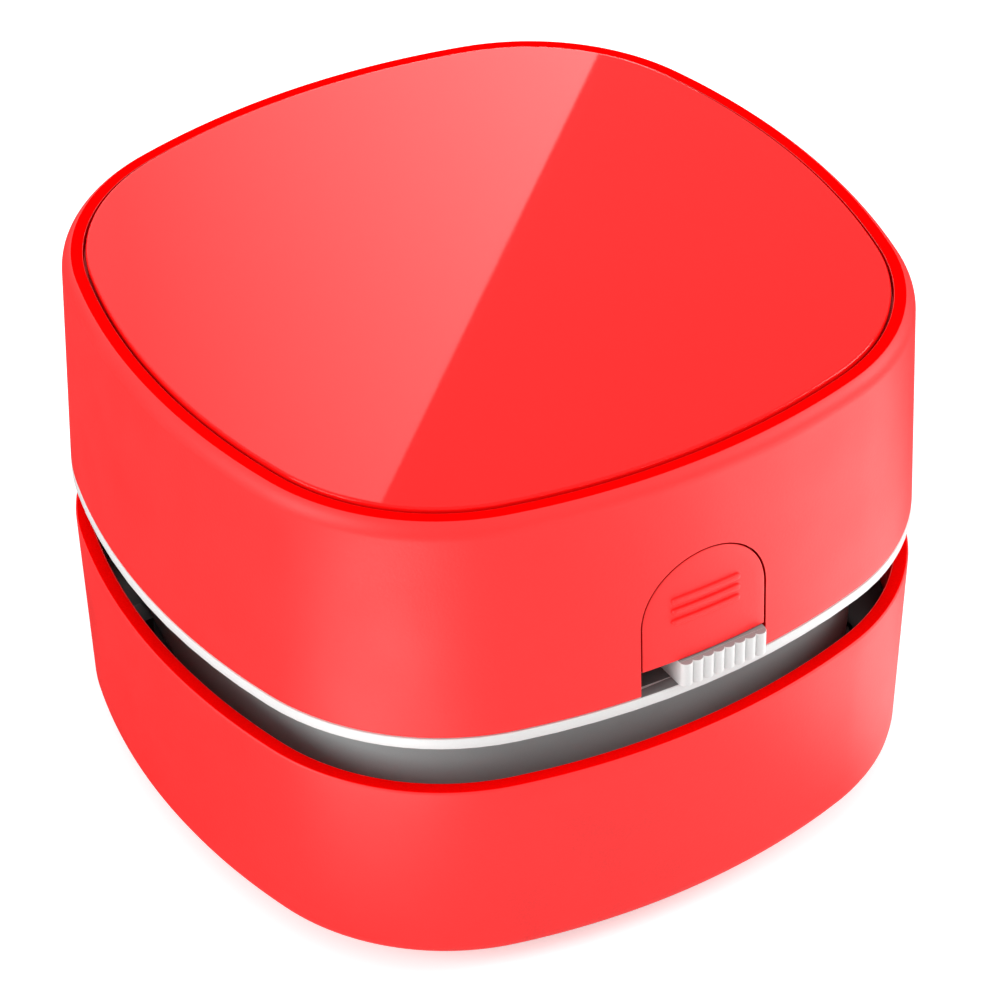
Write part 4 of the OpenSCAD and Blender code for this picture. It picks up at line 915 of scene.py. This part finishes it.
# Painted shade: the deck here is white; these two greys stand for its shade, deeper at the back.
notch_shade_grey = moulded("liner grey", (0.2, 0.2, 0.2), 0.4, depth=0.004, mottle=0.02)
notch_shade_dark = moulded("liner dark grey", (0.115, 0.115, 0.115), 0.4, depth=0.004, mottle=0.02)
strips = joined("slide_strips", [strip("front_strip", 0.12, 40.95, notch_shade_grey),
                                 strip("rear_strip", 1.62, 38.85, notch_shade_dark)])
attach(strips, "main_unit")
print("strips:", len(strips.data.polygons), "faces")

# %% [markdown]
# The nozzle's four bristle strips are the part that touches the desk. A solid comb would look like
# rubber, so a tree plants every strand: tufts stand at even angles, the strands of a tuft fill a disc
# by the golden angle, and each leans out a little to its own tip. The seed mesh is one strand a metre
# long, which the tree turns and scales.

# %% Bristle strips
TUFTS, STRANDS, GOLDEN_ANGLE = 12, 26, 2.39996


def bristle_tree():
    tree, given = geometry_tree("bristles", {
        "Tufts": TUFTS, "Strands": STRANDS, "Radius": 0.02, "Span": 1.2, "Turn": 0.0, "Top": 0.004,
        "Root": 0.0006, "Tip": 0.00105, "Thickness": 0.0001, "Seed": 7})
    strands, tufts = given["Strands"], given["Tufts"]
    points = tree.node("GeometryNodePoints", None, {"Count": strands * tufts})
    index = tree.node("GeometryNodeInputIndex")
    tuft = (index / strands).maths("FLOOR")
    strand = index - tuft * strands
    angle = ((tuft + 0.5) / tufts - 0.5) * given["Span"] + given["Turn"]
    spread = ((strand + 0.5) / strands).maths("SQRT")
    swirl = strand * GOLDEN_ANGLE + tuft

    def at(reach, height):
        """A strand's place at a height, in a tuft that reaches so far from its middle."""
        return tree.node("ShaderNodeCombineXYZ", None, [
            given["Radius"] * angle.maths("COSINE") + spread * reach * swirl.maths("COSINE"),
            given["Radius"] * angle.maths("SINE") + spread * reach * swirl.maths("SINE"), height])

    short = tree.node("FunctionNodeRandomValue", {"data_type": "FLOAT"},
                      {"Min": 0.0, "Max": 0.0003, "ID": index, "Seed": given["Seed"]}, out="Value")
    root, tip = at(given["Root"], given["Top"]), at(given["Tip"], short)
    along = tree.vector("SUBTRACT", tip, root)
    reach = tree.vector("LENGTH", along, out="Value")
    placed = tree.node("GeometryNodeSetPosition", None, {"Geometry": points, "Position": root})
    spin = tree.node("FunctionNodeAlignRotationToVector", {"axis": "Z"}, {"Vector": along})
    size = tree.node("ShaderNodeCombineXYZ", None, [given["Thickness"], given["Thickness"], reach])
    strands_made = tree.node("GeometryNodeInstanceOnPoints", None, {
        "Points": placed, "Instance": given["Geometry"], "Rotation": spin, "Scale": size})
    return end_tree(tree, strands_made, given)


def arc_bar(name, radius, half_width, low, high, start, end, finish, steps=40):
    """A bar of square section bent round the axis."""
    ring = [(radius - half_width, low), (radius + half_width, low), (radius + half_width, high),
            (radius - half_width, high)]
    points = []
    for i in range(steps + 1):
        a = start + (end - start) * i / steps
        points += [(r * math.cos(a), r * math.sin(a), z) for r, z in ring]
    caps = [(0, 1, 2, 3), tuple(range(4 * steps, 4 * steps + 4))]
    return mesh_piece(name, points, around(4, steps + 1) + caps, finish)


BRISTLES, SPAN = bristle_tree(), math.radians(70)
strand = [(math.cos(a) * r, math.sin(a) * r, z) for z, r in ((0, 1), (0.9, 0.9), (1, 0.5))
          for a in [math.radians(72 * k) for k in range(5)]]
strand_faces = around(5, 3) + [(4, 3, 2, 1, 0), (10, 11, 12, 13, 14)]
for quarter, node in enumerate(("brush_right", "brush_rear", "brush_left", "brush_front")):
    middle = quarter * math.pi / 2
    tufted = grow(node + "_strands", strand, BRISTLES, nylon, faces=strand_faces,
                  Turn=middle, Span=SPAN, Seed=quarter + 7)
    backing = arc_bar("backing", 20, 1.4, 3.4, 5.0, middle - SPAN / 2, middle + SPAN / 2, nylon)
    strip_made = joined(node + "_skin", [soften(backing, 0.12), smooth(tufted)])
    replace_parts(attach(strip_made, "base_unit"), node)
print("strands a strip:", TUFTS * STRANDS)

# %% [markdown]
# The two cell springs are tapered spirals of drawn wire, and the tab's spring is a straight coil. A
# spiral curve swept by a circle gives an even wire, which a chain of straight pieces would not. The
# coil of the tab is set in the imported coil's place, as long as that coil.

# %% Cell springs and the tab's spring
def spring_tree():
    tree, given = geometry_tree("tapered_spring", {
        "Turns": 3.0, "Wide": 0.0034, "Narrow": 0.0022, "Length": 0.0027, "Wire": 0.00025})
    spiral = tree.node("GeometryNodeCurveSpiral", None, {
        "Resolution": 48, "Rotations": given["Turns"], "Start Radius": given["Wide"],
        "End Radius": given["Narrow"], "Height": given["Length"]})
    wire = tree.node("GeometryNodeCurvePrimitiveCircle", None,
                     {"Resolution": 12, "Radius": given["Wire"]})
    swept = tree.node("GeometryNodeCurveToMesh", None,
                      {"Curve": spiral, "Profile Curve": wire, "Fill Caps": True})
    return end_tree(tree, swept, given)


def wound(name, foot, turn, **sizes):
    """A coil that stands on `foot`, in metres, turned to its direction."""
    coil = grow(name, [(0, 0, 0)], SPRING, spring_steel, **sizes)
    coil.data.transform(Matrix.Translation(foot) @ turn)
    outwards(coil.data)
    return smooth(coil)


SPRING = spring_tree()
CELL_Y, CELL_Z, SPRING_X = 17.2, 42.6, 26.6
for node, side in (("front_cell_spring", -1), ("rear_cell_spring", 1)):
    coil = wound(node + "_skin", Vector((side * SPRING_X, side * CELL_Y, CELL_Z)) * MM,
                 Matrix.Rotation(-side * math.pi / 2, 4, "Y"))
    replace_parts(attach(coil, "main_unit"), node)
low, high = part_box("tab_spring")
TAB_WIRE = 0.00018
middle = (low + high) / 2
coil = wound("tab_spring_skin", (middle.x, low.y + TAB_WIRE, middle.z),
             Matrix.Rotation(-math.pi / 2, 4, "X"), Turns=3.5, Wide=0.0023, Narrow=0.0023,
             Length=high.y - low.y - 2 * TAB_WIRE, Wire=TAB_WIRE)
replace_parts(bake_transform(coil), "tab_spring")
print("springs stand at", SPRING_X, "mm; the tab's spring from", round(low.y / MM, 2), "to",
      round(high.y / MM, 2), "mm")

# %% [markdown]
# The impeller hangs blades from a disc. One blade is drawn as a line that leans back against the
# turn, thickened and rounded; the copying tree sets the nine of them round the hub.

# %% Impeller
BLADES, HUB_R, BORE_R, DISC_R = 9, 4, 1.0, 25
BLADE_IN, BLADE_OUT, LEAN, BLADE_ROWS, HALF_BLADE = 12, 24.6, 46, 16, 0.5
disc_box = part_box("impeller")
blade_low, disc_high = disc_box[0].z / MM, disc_box[1].z / MM
blade_high = disc_high - 1.2
disc_section = rounded([
    (HUB_R - 1, blade_high), (DISC_R, blade_high, 0.2), (DISC_R, disc_high, 0.3), (BORE_R, disc_high),
    (BORE_R, blade_low), (HUB_R, blade_low, 0.4), (HUB_R, blade_high - 0.3, 0.25),
    (HUB_R + 0.6, blade_high - 0.3)], closed=True)
disc = turned("disc", disc_section, black_plastic, False, 128)
line = []
for i in range(BLADE_ROWS + 1):
    r = BLADE_IN + (BLADE_OUT - BLADE_IN) * i / BLADE_ROWS
    a = math.radians(-LEAN * i / BLADE_ROWS)
    line.append(Vector((r * math.cos(a), r * math.sin(a))))
outline = []
for side in (1, -1):
    for i in range(BLADE_ROWS + 1)[::side]:
        run = (line[min(i + 1, BLADE_ROWS)] - line[max(i - 1, 0)]).normalized()
        outline.append(line[i] + Vector((-run.y, run.x)) * side * HALF_BLADE)
count = len(outline)
blade = mesh_piece("blade", [(p.x, p.y, z) for z in (blade_low, blade_high + 0.05) for p in outline],
                   ends(count, 2) + around(count, 2), black_plastic)
blades = copied("blades", soften(blade, 0.15), black_plastic, Count=BLADES, Turn=math.tau / BLADES)
impeller = joined("impeller_skin", [disc, blades])
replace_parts(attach(impeller, "rotor"), "impeller")
print("blades:", BLADES, "from", round(blade_low, 2), "to", round(blade_high, 2), "mm")

# %% [markdown]
# Every piece that is left gets its finish and the radius of its edges, in millimetres. A radius of
# 0 keeps the edges as they are, where a piece is too fine or too soft for one.

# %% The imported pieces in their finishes
finishes = {
    # The fan housing's grey is painted shade on white plastic.
    "chassis": (white_plastic, 0.12), "fan_housing": (housing_grey_painted_shade, 0.12),
    "bin_deck": (black_plastic, 0.12),
    "nozzle_insert": (black_plastic, 0.1), "filter_frame": (black_plastic, 0), "filter_foam": (foam, 0),
    "filter_seal": (rubber, 0.1), "motor_can": (steel, 0.12), "motor_end_cap": (cream_plastic, 0.1),
    "motor_magnets": (ferrite, 0.05), "front_bush": (brass, 0.05), "rear_bush": (brass, 0.05),
    "motor_brushes": (copper, 0), "motor_terminals": (brass, 0), "motor_strap": (steel, 0.1),
    "motor_shaft": (steel, 0.05), "armature_core": (core_iron, 0),
    "armature_coils": (copper, 0.1), "commutator": (copper, 0), "front_cell": (jacket, 0.1),
    "rear_cell": (jacket, 0.1), "contact_plus": (steel, 0.05), "contact_minus": (steel, 0.05),
    "contact_bridge": (steel, 0.05),
    "switch_case": (steel, 0.08), "switch_base": (cream_plastic, 0.05), "switch_pins": (brass, 0),
    "switch_slider": (black_plastic, 0.08), "lead_battery_plus": (lead_red, 0),
    "lead_motor_plus": (lead_red, 0), "lead_motor_minus": (lead_black, 0),
    "tab_retainer": (black_plastic, 0.08),
    "bin_deck_screws": (black_steel, 0.04), "nozzle_screws": (steel, 0.03),
    "housing_screws": (steel, 0.04), "strap_screws": (steel, 0.04), "retainer_screws": (steel, 0.03),
}
for node, (finish, width) in finishes.items():
    dress(node, finish, width)
print(len(finishes), "packed pieces dressed")

# %% [markdown]
# The photograph is a product shot on pure white: soft light from all round, a stronger soft source
# at the right that puts a sheen on the right-hand wall, and a card at the left whose reflection
# crosses the glossy plate in a straight diagonal edge. The floor and the world are white to the
# camera. Reflections see a room that is dim low down, with three bright places on its floor: one at
# the front right, a small one at the left, and a weak one along the front. The lamps only light the
# object.

# %% Floor, world and lamps
def ramp_map(tree, where, x, y, low, high):
    """A soft step along a direction on the floor, in millimetres."""
    return tree.vector("DOT_PRODUCT", where, (x, y, 0), out="Value").ramp(low * MM, high * MM)


def glow(tree, strength):
    """White light of a strength."""
    return tree.node("ShaderNodeEmission", None, {"Color": (1, 1, 1, 1), "Strength": strength})


def floor_material():
    """White to the camera from above, clear from below; in reflections it has bright and dim places."""
    made, tree, where = new_material("studio floor")
    tone = noise(tree, where, 40, 1.0)
    path = tree.node("ShaderNodeLightPath")
    lit = tree.node("ShaderNodeBsdfDiffuse", None,
                    {"Color": tree.blend(tone, (0.9, 0.9, 0.9), (0.92, 0.92, 0.92))})
    seen = tree.node("ShaderNodeAddShader", None, [lit, glow(tree, path["Is Camera Ray"] * 0.42)])
    near = tree.vector("DISTANCE", where, (-0.09, -0.067, 0), out="Value")
    shade = 1 - ramp_map(tree, where, 0.75, 0.66, 35, 90) * 0.85
    right = (ramp_map(tree, where, 1, 0, 22, 52) * ramp_map(tree, where, 0, -1, 15, 50)
             * shade * 3.3)
    left = (1 - near.ramp(0.01, 0.06)) * 8
    front = ramp_map(tree, where, 0.2, -0.98, -20, 60) * shade * 0.65
    mirrored = glow(tree, right + left + front + 0.05)
    above = tree.node("ShaderNodeMixShader", None, [path["Is Glossy Ray"], seen, mirrored])
    under = tree.node("ShaderNodeNewGeometry", out="Backfacing")
    clear = tree.node("ShaderNodeBsdfTransparent")
    both = tree.node("ShaderNodeMixShader", None, [under, above, clear])
    tree.node("ShaderNodeOutputMaterial", None, {"Surface": both})
    return made


FAR = 4000
floor = mesh_piece("floor", [(-FAR, -FAR, 0), (FAR, -FAR, 0), (FAR, FAR, 0), (-FAR, FAR, 0)],
                   [(0, 1, 2, 3)], floor_material())
floor.data.transform(Matrix.Translation((0, 0, -0.02 * MM)))
floor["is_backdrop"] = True

world = bpy.data.worlds.new("studio")
bpy.context.scene.world = world
world.use_nodes = True
world.node_tree.nodes.clear()
sky = Tree(world.node_tree)
path = sky.node("ShaderNodeLightPath")
white_rays = path["Is Camera Ray"].maths("MAXIMUM", path["Is Glossy Ray"]).maths(
    "MAXIMUM", path["Is Transmission Ray"])
WORLD = 0.82
way = sky.node("ShaderNodeSeparateXYZ", None, [sky.node("ShaderNodeTexCoord")["Object"]])["Z"]
low_sky = (1 - way.ramp(-0.05, 0.5)) * path["Is Glossy Ray"] * -0.95
shine = sky.node("ShaderNodeBackground", None,
                 {"Color": (1, 1, 1, 1), "Strength": white_rays * (1 - WORLD) + WORLD + low_sky})
sky.node("ShaderNodeOutputWorld", None, {"Surface": shine})


def lamp(name, at, aim, size, power):
    """A soft lamp, its sides in metres and its power in watts."""
    light = bpy.data.lights.new(name, "AREA")
    light.shape, light.size, light.size_y, light.energy = "RECTANGLE", size, size, power
    made = bpy.data.objects.new(name, light)
    made.location = at
    made.rotation_euler = (Vector(aim) - Vector(at)).to_track_quat("-Z", "Y").to_euler()
    bpy.context.scene.collection.objects.link(made)
    return made


LAMP_SIZE = 0.4
key = lamp("key", (0.68, -0.3, 0.38), (0, 0, 0.03), LAMP_SIZE, 3.7)
lamp("fill", (-0.66, -0.02, 0.3), (0, 0, 0.02), LAMP_SIZE, 2.8)
print("world", WORLD, "key", key.data.energy, "W")

# %% [markdown]
# A card is not a lamp: it is a white board that a photographer stands so that its edge shows in the
# gloss. It is a plane behind the cleaner whose glow fades away from that edge, and only reflections
# see it.

# %% The reflection card
def card_material(start, along, across):
    """A glow of 3.5 at the start of the edge: less by 26 a metre away from the edge, more by 17 a
    metre along it, and never under 2."""
    made, tree, where = new_material("reflection card")
    local = tree.vector("SUBTRACT", where, start)
    out = tree.vector("DOT_PRODUCT", local, across, out="Value")
    rise = tree.vector("DOT_PRODUCT", local, along, out="Value")
    level = (out * -26 + rise * 17 + 3.5).maths("MAXIMUM", 2.0)
    tree.node("ShaderNodeOutputMaterial", None, {"Surface": glow(tree, level)})
    return made


start = Vector((0.17700, 0.33691, 0.38985))
along, across = Vector((0.64968, 0.20406, -0.73231)), Vector((-0.62903, 0.68525, -0.36710))
corners = [(start + along * a + across * b) / MM
           for a, b in ((-0.25, 0), (0.35, 0), (0.35, 0.35), (-0.25, 0.35))]
board = mesh_piece("card", corners, [(0, 1, 2, 3)], card_material(start, along, across))
board.visible_camera = board.visible_diffuse = board.visible_shadow = board.visible_transmission = False
board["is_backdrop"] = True
print("card edge from", [round(c, 1) for c in corners[0]], "to", [round(c, 1) for c in corners[1]])

# %% [markdown]
# The camera was found by fitting the housing's outlines to the photograph: a long lens half a metre
# away, looking down at the front left corner.

# %% Camera
AZIMUTH, ELEVATION, ROLL = (math.radians(a) for a in (-31.53, 37.93, -0.716))
AIM_Z, DISTANCE, TO_RIGHT, DOWN = 32.88, 475.26, 1.310, 3.308
back = Vector((math.sin(AZIMUTH) * math.cos(ELEVATION), -math.cos(AZIMUTH) * math.cos(ELEVATION),
               math.sin(ELEVATION)))
right = Vector((math.cos(AZIMUTH), math.sin(AZIMUTH), 0))
up = back.cross(right)
right, up = (right * math.cos(ROLL) + up * math.sin(ROLL),
             up * math.cos(ROLL) - right * math.sin(ROLL))
camera = bpy.data.objects.new("camera", bpy.data.cameras.new("camera"))
camera.data.sensor_width, camera.data.lens = 36, 156.06
camera.data.clip_start, camera.data.clip_end = 0.01, 20
camera.matrix_world = Matrix.Translation(
    Vector((0, 0, AIM_Z * MM)) + back * DISTANCE * MM + right * TO_RIGHT * MM - up * DOWN * MM
) @ Matrix((right, up, back)).transposed().to_4x4()
bpy.context.scene.collection.objects.link(camera)
bpy.context.scene.camera = camera
print("camera", [round(v, 3) for v in camera.location])

# %% [markdown]
# Joining and cutting can leave a material slot with nothing in it. Those slots go.

# %% Empty material slots
emptied = 0
for piece in bpy.data.objects:
    slots = list(piece.data.materials) if piece.type == "MESH" else []
    kept = [i for i, finish in enumerate(slots) if finish]
    if len(kept) < len(slots):
        held = [kept.index(face.material_index) for face in piece.data.polygons]
        piece.data.materials.clear()
        for i in kept:
            piece.data.materials.append(slots[i])
        piece.data.polygons.foreach_set("material_index", held)
        emptied += 1
print("pieces that had empty slots:", emptied)

# %% [markdown]
# The photograph is white on white, so the view transform is plain.

view = bpy.context.scene.view_settings
view.view_transform = "Standard"
sizes = {"cad": cad_box, "visual": [list(map(float, corner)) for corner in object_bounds()]}
print("sizes in mm:", {k: [round((b - a) / MM, 2) for a, b in zip(*v)] for k, v in sizes.items()})
